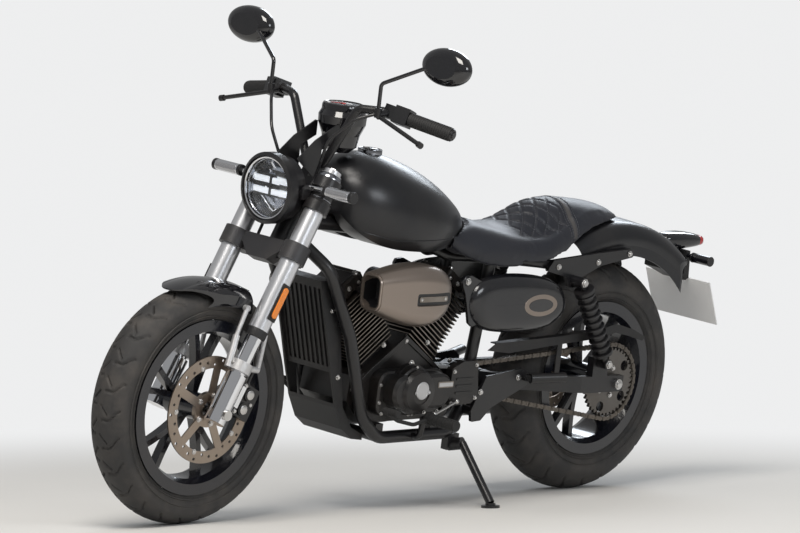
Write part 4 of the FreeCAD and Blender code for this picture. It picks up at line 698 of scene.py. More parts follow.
def headlight():
    lamp_ring("headlight_reflector", REFLECTOR, [(70, 22), (66, 36), (48, 54), (0.2, 58), (0.2, 60),
                                                 (50, 57), (69, 38), (72, 22)])
    lamp_ring("headlight_ring", CHROME, [(73.4, 6.5), (76.5, 5.2), (79.2, 7.2), (78, 10), (74, 12.5)])
    kit = Kit()
    for low, high in ((845, 860), (818, 832)):
        for side in (-1, 1):
            near, far = sorted((side * 4, side * 58))
            kit.box((1214, near, low), (1224, far, high))
    kit.done("headlight_lamp_rows", LAMP_WHITE, "lens_clear", ON_STEERING, bevel=1.5)
    # dark bar between the rows, frames over and under them, and thin ribs inside the lower wedge
    for x, half, low, high in ((1222, 61, 833.5, 843.5), (1221, 58, 813, 817), (1221, 58, 861, 865),
                               (1225, 3, 813, 865)):
        kit.box((1206, -half, low), (x, half, high))
    for top, reach in ((811, 44), (802, 30), (793, 16)):
        for side in (-1, 1):
            kit.tube([(1212, side * reach, top), (1212, 0, top - 0.8 * reach)], 1.6, sides=8)
    kit.done("headlight_dividers", BLACK_PLASTIC, "black_plastic", ON_STEERING)
    for side in (-1, 1):
        kit.tube([(1210, side * 37, 811), (1210, 0, 781)], 3.4, sides=10)
        kit.tube([(1204, side * 22, 868), (1204, side * 34, 888)], 2.6, sides=10)
    kit.done("headlight_wedge", CHROME, "chrome", ON_STEERING)


headlight()


MIRROR_STEPS = 64


def mirror_glass():
    """Oval glass on the back of both mirrors."""
    kit = Kit()
    outline = [(70 * math.cos(TURN * n / MIRROR_STEPS), 41 * math.sin(TURN * n / MIRROR_STEPS))
               for n in range(MIRROR_STEPS)]
    for side, word in SIDES:
        front, back = [[kit.mesh.verts.new((x, side * 346 + y, 1190 + z)) for y, z in outline]
                       for x in (1005.8, 1004.9)]
        kit.mesh.faces.new(front)
        kit.mesh.faces.new(back[::-1])
        for n in range(MIRROR_STEPS):
            after = (n + 1) % MIRROR_STEPS
            kit.mesh.faces.new((front[n], back[n], back[after], front[after]))
        kit.done(f"mirror_glass_{word}", MIRROR_GLASS, "chrome", ON_STEERING)


mirror_glass()


# bolts and small fittings


def machine_bolts():
    """Bolt heads and nuts on both flanks of the frame, from the radiator's shroud to the rear axle."""
    kit = Kit()
    # (x, z) places, how far out, radius, height, and 6 sides for a nut
    for places, y, radius, height, sides in (
            (((1050, 535), (1004, 364)), 85.2, 5, 6, 24),
            (((276, 632), (123, 640), (2, 659)), 130, 6, 6, 24),
            (((518, 312), (380, 344)), 129, 6, 6, 24),
            (((210, 594), (75, 372)), 168.3, 9, 7, 6),
            (((614, 604),), 130.3, 7, 5, 24),
            (((0, REAR_RADIUS),), 147.3, 10, 5, 6)):
        kit.side_bolts(places, y, radius, height, sides)
    kit.done("machine_bolts", PLATED, "steel", bevel=0.5)


machine_bolts()


def leg_rings(kit, profile, steps=56):
    """The same ring on both fork legs."""
    for side in (-1, 1):
        kit.ring(profile, (FORK_OFFSET, side * LEG_Y, 0), (0, 0, 1), steps)


def fork_fittings():
    """Pinch bolts, dust seals, fork caps and reflector backs on the raked fork."""
    black = Kit()
    bright = Kit()
    leg_rings(black, [(20.7, 205), (25.5, 207), (26.4, 216), (26.4, 226), (26.05, 228), (20.7, 216)], 48)
    for side in (-1, 1):
        bright.rod((FORK_OFFSET, side * LEG_Y, 665), (FORK_OFFSET, side * LEG_Y, 670), 12, 11, sides=6)
        pinch = side * (LEG_Y - 22)
        for s in (428, 448, 626):
            bright.bolt((10.5, pinch, s), (-1, 0, 0), 4.5, 6)
        for s in (428, 448):
            black.rod((8, pinch, s), (16, pinch, s), 8, sides=18)
        bright.bolt((71, side * LEG_Y, 125), (1, 0, 0), 4, 8)
        back = side * (LEG_Y + 26.5)
        black.box((31, back - 1.2, 257), (59, back + 1.2, 355))
    black.done("fork_seals_and_frames", BLACK_PLASTIC, "black_plastic", ON_FORK, bevel=0.8)
    bright.done("fork_bolts", PLATED, "steel", ON_FORK, bevel=0.5)


fork_fittings()


def disc_bolts():
    """Bolts of the discs and the rear sprocket on their hubs, and the front disc's rivets."""
    kit = Kit()
    for word, y, circle, on in (("front", 70.2, 37, ON_FRONT_WHEEL), ("rear", -94.2, 37, ON_REAR_WHEEL),
                                ("sprocket", 109.2, 38, ON_REAR_WHEEL)):
        way = (0, math.copysign(1, y), 0)
        for x, z in spaced(5, circle, 0.63):
            kit.bolt((x, y, z), way, 5.5, 5)
        if word == "front":
            for x, z in spaced(5, 108):
                kit.bolt((x, y, z), way, 5, 2.5)
        kit.done(f"{word}_disc_bolts", PLATED, "steel", on, bevel=0.4)


disc_bolts()


# grips, pegs and levers

GRIP_IN = Vector((1021, 247, 1044))
GRIP_END = Vector((987, 359, 1025))


def ribs(name, start, end, radius, count, on, rise):
    """Raised rubber rings along a grip or a peg."""
    start, end = Vector(start), Vector(end)
    pitch = (end - start).length / count
    kit = Kit()
    for n in range(count):
        low = pitch * (n + 0.2)
        high = low + pitch * 0.55
        kit.ring([(radius - 0.5, low - 0.6), (radius + rise, low), (radius + rise, high),
                  (radius - 0.5, high + 0.6)], start, end - start, 40)
    kit.done(name, GRIP_RUBBER, "rubber", on)


def flipped(point):
    """The same place on the machine's right side."""
    return Vector((point[0], -point[1], point[2]))


def grips():
    """Ribs along both grips, and the bar's end caps."""
    cap = Kit()
    for word, turn in (("left", Vector), ("right", flipped)):
        ribs(f"grip_ribs_{word}", turn(GRIP_IN.lerp(GRIP_END, 0.04)), turn(GRIP_IN.lerp(GRIP_END, 0.96)),
             16.9, 18, ON_STEERING, 0.9)
        end = turn(GRIP_END)
        way = (end - turn(GRIP_IN)).normalized()
        cap.rod(end, end + way * 5, 16, 14, sides=32)
        cap.rod(end + way * 5, end + way * 8, 11, 9, sides=32)
        cap.done(f"bar_end_{word}", BLACK_METAL, "black_metal", ON_STEERING, bevel=0.8)


grips()
ribs("left_peg_ribs", (740, 182, 262), (740, 262, 262), 13.8, 9, ON_FRAME, 1.5)
ribs("right_peg_ribs", (740, -218, 262), (740, -292, 262), 13.8, 9, ON_FRAME, 1.5)
ribs("toe_peg_ribs", (904, 180, 291), (904, 214, 291), 8.9, 5, ON_FRAME, 1.2)


# seat

SEAT_AXIS_Z = 640
SEAT_TOP_Z = 745
# the cover's radius round its long axis, about
SEAT_ROUND = 112
# a diamond's size, and where the quilting fades in from behind, from ahead and from the sides
QUILT_ALONG = 44
QUILT_ACROSS = 58
QUILT_DEPTH = 2.6
QUILT_REAR = (216, 236)
QUILT_FRONT = (410, 385)
QUILT_SIDE = (128, 116)
BAND_X = 188
BAND_SWEEP = 22
BAND_HALF = 13
SEAM_DEPTH = 1.8
SEAM_WIDTH = 3.0
# cloth: how far the form is drawn in first, its mesh, and how far the cover may swell, in metres
INSET_M = 0.003
VOXEL_M = 0.006
LARGEST_MOVE_M = 0.004
CLOTH_FRAMES = 20
INTO_MACHINE = MACHINE.inverted()


def smooth_step(low, high, value):
    share = min(1.0, max(0.0, (value - low) / (high - low)))
    return share * share * (3 - 2 * share)


def lateral(point):
    """How far round the seat a point is from the middle line."""
    drop = max(0.0, SEAT_TOP_Z - point.z)
    return math.copysign(abs(point.y) + 0.5 * drop, point.y)


def quilt_mask(point):
    """Where the diamond quilting lies: the front of the lumbar dome."""
    fore = smooth_step(*QUILT_FRONT, point.x) * smooth_step(*QUILT_REAR, point.x)
    return fore * smooth_step(*QUILT_SIDE, abs(lateral(point)))


def quilt_depth(point):
    """Cushions between diagonal sewn channels."""
    sink = 0.0
    for way in (1, -1):
        share = (point.x / QUILT_ALONG + way * lateral(point) / QUILT_ACROSS) % 1.0
        sink = max(sink, 1 - smooth_step(0.0, 0.2, min(share, 1 - share)))
    return -QUILT_DEPTH * sink


def band_x(point):
    """The seam band's line behind the dome."""
    return BAND_X + BAND_SWEEP * smooth_step(0, 140, abs(lateral(point)))


def seat_relief(point):
    """Quilting, the band and its two seams, in millimetres."""
    relief = quilt_mask(point) * quilt_depth(point)
    away = point.x - band_x(point)
    for seam in (-BAND_HALF, BAND_HALF):
        relief -= SEAM_DEPTH * math.exp(-((away - seam) / SEAM_WIDTH) ** 2)
    if abs(away) < BAND_HALF:
        relief += 0.8
    return relief


def apply_modifiers(obj):
    """Bakes an object's modifiers into its mesh."""
    graph = bpy.context.evaluated_depsgraph_get()
    baked = bpy.data.meshes.new_from_object(obj.evaluated_get(graph), depsgraph=graph)
    obj.modifiers.clear()
    old = obj.data
    obj.data = baked
    bpy.data.meshes.remove(old)


def blow_up(obj):
    """Lets the cover swell as cloth under pressure, and keeps the settled shape."""
    cloth = obj.modifiers.new("cover", "CLOTH")
    settings = cloth.settings
    settings.quality = 5
    settings.mass = 0.3
    settings.tension_stiffness = 12
    settings.compression_stiffness = 12
    settings.bending_stiffness = 4
    settings.use_pressure = True
    settings.uniform_pressure_force = 4
    settings.effector_weights.gravity = 0
    scene = bpy.context.scene
    scene.frame_start = 1
    scene.frame_end = CLOTH_FRAMES
    for step in range(1, CLOTH_FRAMES + 1):
        scene.frame_set(step)
    apply_modifiers(obj)
    scene.frame_set(1)


def seat_cushion():
    """The seat's cover, blown up as cloth over the solid's form, then sewn."""
    mesh = NODES["seat"].data.copy()
    mesh.name = "seat_cushion"
    inner = bmesh.new()
    inner.from_mesh(mesh)
    bmesh.ops.remove_doubles(inner, verts=inner.verts, dist=0.0002)
    inner.normal_update()
    for vertex in inner.verts:
        vertex.co -= vertex.normal * INSET_M
    inner.to_mesh(mesh)
    inner.free()
    obj = in_scene("seat_cushion", mesh)
    remesh = obj.modifiers.new("even mesh", "REMESH")
    remesh.mode = "VOXEL"
    remesh.voxel_size = VOXEL_M
    apply_modifiers(obj)
    rest = [vertex.co.copy() for vertex in obj.data.vertices]
    blow_up(obj)
    for vertex, start in zip(obj.data.vertices, rest):
        move = vertex.co - start
        if move.length > LARGEST_MOVE_M:
            vertex.co = start + move.normalized() * LARGEST_MOVE_M
    smooth = obj.modifiers.new("round", "SUBSURF")
    smooth.levels = 1
    apply_modifiers(obj)
    normals = [vertex.normal.copy() for vertex in obj.data.vertices]
    for vertex, normal in zip(obj.data.vertices, normals):
        vertex.co += normal * seat_relief(INTO_MACHINE @ vertex.co / MM) * MM
    for face in obj.data.polygons:
        face.use_smooth = True
    obj.data.materials.clear()
    obj.data.materials.append(SEAT_COVER)
    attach(obj, "frame")
    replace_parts(obj, "seat")
    return obj


def surface_tree(obj):
    """A search tree over an object's finished surface, for rays."""
    return BVHTree.FromObject(obj, bpy.context.evaluated_depsgraph_get())


SEAT_TREE = surface_tree(seat_cushion())


def cast(tree, start, way):
    """Where a ray in the machine's frame meets a surface, with the normal there."""
    place, normal, _, _ = tree.ray_cast(MACHINE @ (Vector(start) * MM), MACHINE.to_3x3() @ Vector(way))
    if place is None:
        return None, None
    return INTO_MACHINE @ place / MM, (INTO_MACHINE.to_3x3() @ normal).normalized()


def cover_point(x, angle, lift=0.5):
    """A place just off the cover, seen from the seat's long axis, or None beyond its edge."""
    spoke = Vector((0, math.sin(angle), math.cos(angle)))
    place, normal = cast(SEAT_TREE, Vector((x, 0, SEAT_AXIS_Z)) + spoke * 400, -spoke)
    return None if place is None else place + normal * lift


STITCH_LENGTH = 4.6
STITCH_PITCH = 7.6
THREAD_RADIUS = 0.42
LONGEST_STEP = 12


def thread(kit, places):
    """Short stitches along a line on the cover."""
    travelled = 0.0
    for before, after in zip(places, places[1:]):
        run = (after - before).length
        if run > LONGEST_STEP:
            continue
        if travelled % STITCH_PITCH < STITCH_LENGTH:
            kit.rod(before, after, THREAD_RADIUS, sides=6)
        travelled += run


def sew_band(kit):
    """A row of stitches on each side of both seams of the band."""
    for seam in (-17, -9.5, 9.5, 17):
        line = []
        for n in range(-150, 151):
            angle = n / 150 * 1.45
            guess = cover_point(200, angle)
            line.append(cover_point(band_x(guess) + seam, angle) if guess else None)
        thread(kit, [place for place in line if place])


def channel_point(x, target):
    """The cover's place at that x and lateral distance, if the quilting reaches it."""
    angle = target / SEAT_ROUND
    if abs(angle) > 1.25:
        return None
    for _ in range(4):
        guess = cover_point(x, angle)
        if guess is None:
            break
        angle += (target - lateral(guess)) / 160
    place = cover_point(x, angle)
    return place if place and quilt_mask(place) > 0.5 else None


def sew_channels(kit):
    """Both ways of diagonal channels, each in unbroken runs."""
    for way in (-1, 1):
        for channel in range(-2, 22):
            run = []
            for n in range(201):
                x = 222 + n * 0.95
                target = way * (channel - x / QUILT_ALONG) * QUILT_ACROSS
                place = channel_point(x, target) if n < 200 else None
                if place is not None:
                    run.append(place)
                    continue
                if len(run) > 3:
                    thread(kit, run)
                run = []


def seat_band():
    """The raised band behind the dome, as a thin strip over the cover."""
    rows = []
    for n in range(-120, 121):
        angle = n / 120 * 1.42
        guess = cover_point(200, angle)
        if guess is None:
            continue
        row = [cover_point(band_x(guess) + off, angle, 0.9 - 0.014 * off * off)
               for off in (-7, -5, -2.5, 0, 2.5, 5, 7)]
        if None not in row:
            rows.append(row)
    mesh = mesh_of("seat_band", [place for row in rows for place in row], grid_faces(len(rows), 7))
    piece("seat_band", mesh, BAND_COVER, "seat_cover", smooth=60)


def stitching():
    kit = Kit()
    sew_band(kit)
    sew_channels(kit)
    kit.done("seat_stitching", THREAD, "seat_cover")


stitching()
seat_band()


# badges, left blank

COVER_BADGE = (345, 536)


def oval(half_long, half_high, steps=72):
    """Outline of a side cover's badge, as (x, z)."""
    return [(COVER_BADGE[0] + half_long * math.cos(TURN * n / steps),
             COVER_BADGE[1] + half_high * math.sin(TURN * n / steps)) for n in range(steps)]


def rounded_bar(low_x, high_x, low_z, high_z, corner, steps=5):
    """Outline of a bar with round corners, as (x, z)."""
    points = []
    for x, z, start in ((high_x - corner, low_z + corner, -90), (high_x - corner, high_z - corner, 0),
                        (low_x + corner, high_z - corner, 90), (low_x + corner, low_z + corner, 180)):
        for n in range(steps + 1):
            angle = math.radians(start + 90 * n / steps)
            points.append((x + corner * math.cos(angle), z + corner * math.sin(angle)))
    return points


def badges():
    """Blank badges on the engine cover, the crankcase, the air cleaner and the side covers."""
    kit = Kit()
    kit.ring([(0.2, 0), (23, 0), (23, 1.6), (21.5, 2.6), (19, 2.6), (18.4, 1.8), (0.2, 1.8)],
             (778, 168.8, 336), (0, 1, 0), 64)
    kit.side_bolts(((756, 331), (800, 331)), 170, 4, 4, ways=(1,))
    kit.done("round_badge", CAST_SILVER, "cast_grey", bevel=0.3)
    for name, bar, y, thick, made, slot, bevel in (
            ("engine_badge_frame", (657, 713, 338, 354, 3), 160, 1.2, BRONZE_TRIM_AND_FIN_HIGHLIGHT, "steel", 0.4),
            ("engine_badge", (660, 710, 341, 351, 2), 160.6, 1.4, CAST_SILVER, "steel", 0.4),
            ("cleaner_recess", (746.5, 869.5, 562.5, 593.5, 8), 195.9, 0.8, BLACK_METAL, "black_metal",
             0.3),
            ("cleaner_badge", (757, 858, 571, 585, 5), 196.6, 2.0, BRONZE_TRIM_AND_FIN_HIGHLIGHT, "cast_grey", 0.5)):
        kit.slab(rounded_bar(*bar), y, thick)
        kit.done(name, made, slot, bevel=bevel)
    kit.side_bolts(((765, 578), (850, 578)), 198.4, 3, 1.6, ways=(1,))
    kit.done("cleaner_badge_screws", PLATED, "steel")
    for side, word in SIDES:
        kit.plate(oval(62, 29), side, 145.2, 147.1)
        kit.done(f"side_badge_rim_{word}", BRONZE, "bronze_paint", bevel=0.5)
        kit.plate(oval(46, 17), side, 146.4, 147.7)
        kit.done(f"side_badge_face_{word}", GLOSS_BLACK, "gloss_plastic", bevel=0.5)


badges()


# side covers: rounded shells in place of the flat ones

COVER_INNER = 118.4
COVER_RISE = 28.2
COVER_ROWS = 16
COVER_ROUNDNESS = 2.2


def side_cover(side, word):
    """A pillow over the cover's outline, flat where its badge sits, and the flange of its bolt."""
    corners = [Vector((x, z)) for x, z in (
        (236, 500), (312, 463), (458, 462), (558, 478), (598, 520), (598, 576), (558, 612), (450, 621),
        (322, 609), (252, 582), (230, 540))]
    for _ in range(3):
        corners = [place for here, after in zip(corners, corners[1:] + corners[:1])
                   for place in (here.lerp(after, 0.25), here.lerp(after, 0.75))]
    vertices = []
    for row in range(COVER_ROWS + 1):
        share = row / COVER_ROWS
        away = 1 - min(1.0, share / 0.55)
        rise = (1 - away ** COVER_ROUNDNESS) ** (1 / COVER_ROUNDNESS)
        for place in corners:
            spot = place.lerp(Vector((min(max(place.x, 300), 520), 541)), share * 0.999)
            vertices.append((spot.x, side * (COVER_INNER + COVER_RISE * rise), spot.y))
    faces = grid_faces(COVER_ROWS + 1, len(corners), wrap_columns=True) + [tuple(range(len(corners)))]
    name = f"{word}_side_shell"
    mesh = mesh_of(name, vertices, faces, turn_out=True)
    shell = piece(name, mesh, COVER_PAINT, "tank_paint", smooth=60)
    kit = Kit()
    kit.plate([(552, 600), (600, 619), (624, 617), (631, 606), (628, 592), (616, 570), (604, 535),
               (592, 494), (578, 484), (556, 492)], side, COVER_INNER, 128)
    near, far = sorted((side * 119, side * 130.2))
    kit.ring([(0.2, 0), (13, 0), (13, far - near - 2), (11, far - near), (0.2, far - near)],
             (614, near, 604), (0, 1, 0), 40)
    hang(kit.done(f"{word}_side_flange", COVER_PAINT, "tank_paint", bevel=2.5), shell)
    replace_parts(shell, f"{word}_side_cover")


for flank in SIDES:
    side_cover(*flank)


# fork reflectors: rounded amber bars in black frames


def reflector_bars(kit, half, low, high, inner, outer):
    """One rounded bar on the outside of each fork leg."""
    outline = rounded_bar(FORK_OFFSET - half, FORK_OFFSET + half, low, high, half - 0.5, 8)
    for side in (-1, 1):
        kit.plate(outline, side, LEG_Y + inner, LEG_Y + outer)


def fork_reflectors():
    kit = Kit()
    reflector_bars(kit, 8.5, 265, 347, 28.6, 32.2)
    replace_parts(kit.done("amber_bars", AMBER, "amber", ON_FORK, bevel=1.0), "fork_reflectors")
    reflector_bars(kit, 10.5, 262, 350, 26.2, 29.2)
    kit.done("reflector_frames", BLACK_PLASTIC, "black_plastic", ON_FORK, bevel=0.6)


fork_reflectors()


# engine: fin edge strips with painted highlight, head bolts, plugs, cover bolts and ribs

CRANK = Vector((770, 0, 310))
FIN_COUNT = 16
FIN_PITCH = 11
FIN_LOW = 139.5
FIN_EDGE_THICK = 2.5
FIN_HALF = 61
HEAD_TOP = 351.5


def cylinder_trim(word, turn):
    """Fin edge strips whose bronze brightness is a painted highlight, head cover, plug and bolts of a
    cylinder, drawn upright from the crankshaft.
    """
    upright = Matrix.Translation(CRANK * MM) @ Matrix.Rotation(math.radians(turn), 4, "Y")
    on = ("frame", MACHINE @ upright)
    kit = Kit()
    # bronze strips on each fin's outer edges, their brightness a painted highlight of the lit fin tips
    for n in range(FIN_COUNT):
        low = FIN_LOW + FIN_PITCH * n
        high = low + FIN_EDGE_THICK
        for side in (-1, 1):
            near, far = sorted((side * (FIN_HALF + 0.6), side * (FIN_HALF + 1.35)))
            kit.box((-FIN_HALF, near, low), (FIN_HALF, far, high))
            kit.box((near, -FIN_HALF, low), (far, FIN_HALF, high))
    kit.done(f"{word}_fin_highlight_strips", BRONZE_TRIM_AND_FIN_HIGHLIGHT, "steel", on)
    studs = [(x, y) for x in (-42, 42) for y in (-46, 46)]
    for x, y in studs:
        kit.rod((x, y, 323), (x, y, 352), 11, sides=24)
    kit.slab([(-44, 351), (44, 351), (36, 357), (-36, 357)], -44, 88)
    kit.rod((-20, 61, 318), (-26, 74, 324), 9, sides=20)
    kit.rod((-26, 74, 324), (-28, 80, 327), 11, 8, sides=20)
    kit.done(f"{word}_head_cover", ENGINE_BLACK, "engine_black", on, bevel=1.5)
    for x, y in studs:
        kit.bolt((x, y, HEAD_TOP), (0, 0, 1), 6, 8)
    kit.side_bolts(((0, 337),), 55.5, 5, 6)
    kit.side_bolts(((-34, 332), (34, 332)), 55.5, 4, 5)
    kit.done(f"{word}_head_bolts", PLATED, "steel", on, bevel=0.4)


cylinder_trim("front", 36)
cylinder_trim("rear", -36)


def engine_trim():
    """Bolts, ribs and plug of the crankcase and its covers, and the gear lever's linkage."""
    kit = Kit()
    kit.side_bolts(((664, 268), (712, 267), (768, 264), (822, 267), (868, 271), (880, 300), (880, 345),
                    (650, 300)), 119.5, 3.6, 5)
    kit.side_bolts(((610, 262), (905, 262), (945, 330), (930, 380), (600, 390), (690, 440), (770, 448),
                    (850, 440)), 83.5, 5, 6)
    kit.side_bolts([(782 + x, 331 + z) for x, z in spaced(6, 60, TURN / 12)], 145.6, 3.2, 3)
    kit.bolt((778, 119, 396), (0, 1, 0), 7, 6)
    kit.side_bolts(((546, 300), (552, 386), (632, 290), (632, 372)), 136.5, 4, 5, ways=(1,))
    kit.done("engine_bolts", PLATED, "steel", bevel=0.4)
    for side in (-1, 1):
        kit.plate([(770, 462), (900, 372), (946, 330), (938, 322), (890, 362), (770, 446), (640, 362),
                   (594, 328), (588, 338), (640, 374)], side, 83.6, 88)
    for low in (312, 330, 348):
        kit.slab(rounded_bar(560, 622, low, low + 7, 3), 136.6, 2.4)
    kit.ring([(0.2, 0), (9, 0), (9, 5), (6, 7), (0.2, 7)], (905, 88, 300), (0, 1, 0), 32)
    kit.done("engine_ribs", ENGINE_BLACK, "engine_black", bevel=1.0)
    lever_eye, shaft_end = (724, 170, 273), (622, 146, 296)
    kit.tube([lever_eye, (670, 158, 285), shaft_end], 3.2)
    kit.ball(lever_eye, 7)
    kit.ball(shaft_end, 7)
    kit.rod((622, 136.5, 296), shaft_end, 4.5)
    kit.rod((738, 166, 266), (722, 166, 275), 6)
    kit.done("gear_linkage", PLATED, "steel", bevel=0.3)


engine_trim()


def cleaner_mouth():
    """Bright lip, dark mesh and its bars in the air cleaner's mouth."""
    def loft(name, made, slot, rings, wrap):
        """A skin through rounded rectangles, each (x, low y, high y, low z, high z, corner)."""
        outlines = [[(x, y, z) for y, z in rounded_bar(y0, y1, z0, z1, corner, 6)]
                    for x, y0, y1, z0, z1, corner in rings]
        faces = grid_faces(len(outlines), len(outlines[0]), wrap_rows=wrap, wrap_columns=True)
        mesh = mesh_of(name, [point for outline in outlines for point in outline], faces)
        piece(name, mesh, made, slot, smooth=50)

    loft("cleaner_lip", BRONZE, "bronze_paint", (
        (984.8, 114, 186, 547, 640, 24), (989, 116, 184, 549, 638, 22),
        (989, 119.5, 180.5, 552.5, 634.5, 19), (984.8, 120.4, 179.6, 553.4, 633.6, 18.5)), True)
    loft("cleaner_liner", BLACK_METAL, "black_metal", [
        (x, 119.4 + inset, 180.6 - inset, 552.4 + inset, 634.6 - inset, 18)
        for x, inset in ((984, 1.2), (965, 4.6), (943, 8))], False)
    kit = Kit()
    for y in range(129, 172, 7):
        kit.tube([(944, y, 562), (944, y, 625)], 1.1, sides=8)
    for z in range(566, 623, 7):
        kit.tube([(944, 128, z), (944, 172, z)], 1.1, sides=8)
    kit.slab(rounded_bar(940.4, 942.4, 561, 625, 0.9), 127, 46)
    kit.done("cleaner_mesh", BLACK_METAL, "black_metal")


cleaner_mouth()


# tank: seam near its foot, and the filler cap's ring

CAP = Vector((893, 0, 928))


def tank_trim():
    """A welded seam along both flanks, and the filler cap's ring and lock."""
    tree = surface_tree(NODES["fuel_tank"])
    kit = Kit()
    for side in (-1, 1):
        line = []
        for n in range(90):
            x = 582 + 432 * n / 89
            height = 716 + 22 * smooth_step(880, 1020, x) + 8 * smooth_step(640, 590, x)
            place, _ = cast(tree, (x, side * 260, height), (0, -side, 0))
            if place is not None:
                line.append(place)
        kit.tube(line, 1.5, sides=10)
    kit.done("tank_seam", TANK_PAINT, "tank_paint")
    kit.ring([(28.2, 0), (30.4, 0.4), (31.2, -2), (31, -12), (28, -12)], CAP, (0, 0, 1), 72)
    kit.done("cap_ring", DARK_CHROME, "tank_paint")
    kit.ring([(0.2, 0), (18, 0), (19, 1.6), (17, 2.6), (0.2, 3)], CAP, (0, 0, 1), 64)
    kit.box((891.6, -6, 930.4), (894.4, 6, 931.8))
    for x, y in spaced(3, 24, 0.5):
        kit.bolt((CAP.x + x, y, CAP.z), (0, 0, 1), 2.4, 2)
    kit.done("cap_lock", GLOSS_BLACK, "tank_paint", bevel=0.4)


tank_trim()


# speedometer's face

DIAL_X = 1005
DIAL_TICKS = 45


def dial():
    """The speedometer's rim, face, ticks and needle, without figures."""
    kit = Kit()

    def dial_ring(profile, steps=96):
        kit.ring(profile, (DIAL_X, 0, 0), (0, 0, 1), steps)

    dial_ring([(45, 1030), (45, 1044.4), (47, 1045.2), (52, 1043.5), (54.4, 1038), (54.6, 1026)])
    kit.done("dial_rim", GLOSS_BLACK, "gloss_plastic", ON_STEERING)
    dial_ring([(0.2, 1041.8), (45.5, 1041.8), (45.5, 1042.6), (0.2, 1042.6)])
    kit.done("dial_face", BLACK_PLASTIC, "gloss_plastic", ON_STEERING)
    middle = Vector((DIAL_X, 0, 1042.7))
    for n in range(DIAL_TICKS):
        angle = math.radians(-220 + 260 * n / (DIAL_TICKS - 1))
        inner, radius = (39, 0.5) if n % 4 else (36, 0.9)
        way = Vector((-math.sin(angle), math.cos(angle), 0))
        kit.rod(middle + way * inner, middle + way * 42, radius, sides=6)
    kit.box((985, -14, 1042.6), (993, 14, 1043.2))
    kit.done("dial_marks", DIAL_WHITE, "plate_white", ON_STEERING)
    kit.rod((DIAL_X, 0, 1043.6), (1027, -24, 1043.6), 1.3, 0.5, sides=8)
    dial_ring([(0.2, 1042.6), (5, 1042.6), (4, 1045), (0.2, 1045)], 32)
    kit.done("dial_needle", RED_MARK, "lens_red", ON_STEERING)


dial()


# signals, tail lamp and plate

# the tail lamp's foot, from the rear hub round the fender
TAIL_REACH = 430
TAIL_ANGLE = math.radians(37.5)
TAIL_X = -TAIL_REACH * math.sin(TAIL_ANGLE)
TAIL_Z = REAR_RADIUS + TAIL_REACH * math.cos(TAIL_ANGLE)


def soft_tube(name, stations, made, slot, power=3.0, steps=48):
    """A closed form through rounded sections, (x, low z, high z, half width) from the lamp's foot."""
    def rounded(value):
        return math.copysign(abs(value) ** (2 / power), value)

    vertices = []
    for x, low, high, half in stations:
        for n in range(steps):
            angle = TURN * n / steps
            vertices.append((TAIL_X + x, half * rounded(math.cos(angle)),
                             TAIL_Z + (low + high) / 2 + (high - low) / 2 * rounded(math.sin(angle))))
    faces = grid_faces(len(stations), steps, wrap_columns=True)
    faces += [tuple(range(steps))[::-1], tuple(range(len(vertices) - steps, len(vertices)))]
    return piece(name, mesh_of(name, vertices, faces, turn_out=True), made, slot, smooth=50)


def tail_lamp():
    """The rounded body on its foot, with the lens bulging out of its end."""
    body = soft_tube("tail_lamp_body", (
        (-4, 2, 22, 14), (-9, -5, 29, 22), (-22, -9, 33, 28), (-48, -11, 36, 31), (-80, -10, 36.2, 32),
        (-112, -7, 33.5, 32), (-134, -4.5, 30, 31.4), (-138, -3.2, 28.6, 30.4)),
        GLOSS_BLACK, "gloss_plastic")
    kit = Kit()
    foot = ((-4, -4), (-70, -2), (-66, -12), (-40, -31), (-30, -26))
    kit.slab([(TAIL_X + x, TAIL_Z + z) for x, z in foot], -21, 42)
    hang(kit.done("tail_lamp_foot", GLOSS_BLACK, "gloss_plastic", bevel=2.0), body)
    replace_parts(body, "tail_light")
    lens = soft_tube("tail_lamp_lens", (
        (-137.5, -2.6, 27.8, 29.6), (-146, -2.4, 27.4, 29.4), (-153, -1, 26, 28), (-156.8, 2, 23, 24),
        (-158.2, 6, 19, 16)), RED_LENS, "lens_red")
    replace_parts(lens, "tail_lens")


def lens_outline(x, z, reaches, half_angle, ahead):
    """A thin curved lens round the signal's axis, as (x, z): an arc, and a wider one coming back."""
    sweep = [math.radians(half_angle * (n / 5 - 1)) for n in range(11)]
    return [(x + ahead * reach * math.cos(angle), z + reach * math.sin(angle))
            for reach, angles in zip(reaches, (sweep, sweep[::-1])) for angle in angles]


def lamps():
    """Lenses and end caps of the signals, the tail lamp, and the plate's bolts."""
    front = INTO_MACHINE @ FORK @ (Vector((82, 0, 600)) * MM) / MM
    kit = Kit()
    # the lens's half angle, its two radii and its span across, then the end caps and their radius
    for end, x, z, ahead, half_angle, reaches, span, caps, radius, sides, on, bevel in (
            ("front", front.x, front.z, 1, 38, (13.2, 15.2), (162, 232),
             ((148, 158), (236, 247)), 14.6, 36, ON_STEERING, 1.2),
            ("rear", TAIL_X - 82, TAIL_Z - 25.6, -1, 40, (12.2, 14.4), (64, 116),
             ((57, 62), (119, 122.5)), 13.6, 32, ON_FRAME, 1.0)):
        for side in (-1, 1):
            kit.plate(lens_outline(x, z, reaches, half_angle, ahead), side, *span)
        kit.done(f"{end}_signal_lenses", SMOKED, "gloss_plastic", on, bevel=0.5)
        for side in (-1, 1):
            for start, stop in caps:
                kit.rod((x, side * start, z), (x, side * stop, z), radius, sides=sides)
        kit.done(f"{end}_signal_ends", BLACK_METAL, "gloss_plastic", on, bevel=bevel)
    tail_lamp()
    corner = Matrix.Translation(Vector((TAIL_X - 96.2, -115, TAIL_Z - 85.6)) * MM)
    for y in (75, 155):
        kit.bolt((3, y, 22), (1, 0, 0), 4, 3)
    plate = MACHINE @ corner @ Matrix.Rotation(math.radians(180 + 24), 4, "Y")
    kit.done("plate_bolts", PLATED, "steel", ("frame", plate), bevel=0.3)


lamps()


# calipers, valves, exhaust, switches and fork sleeves


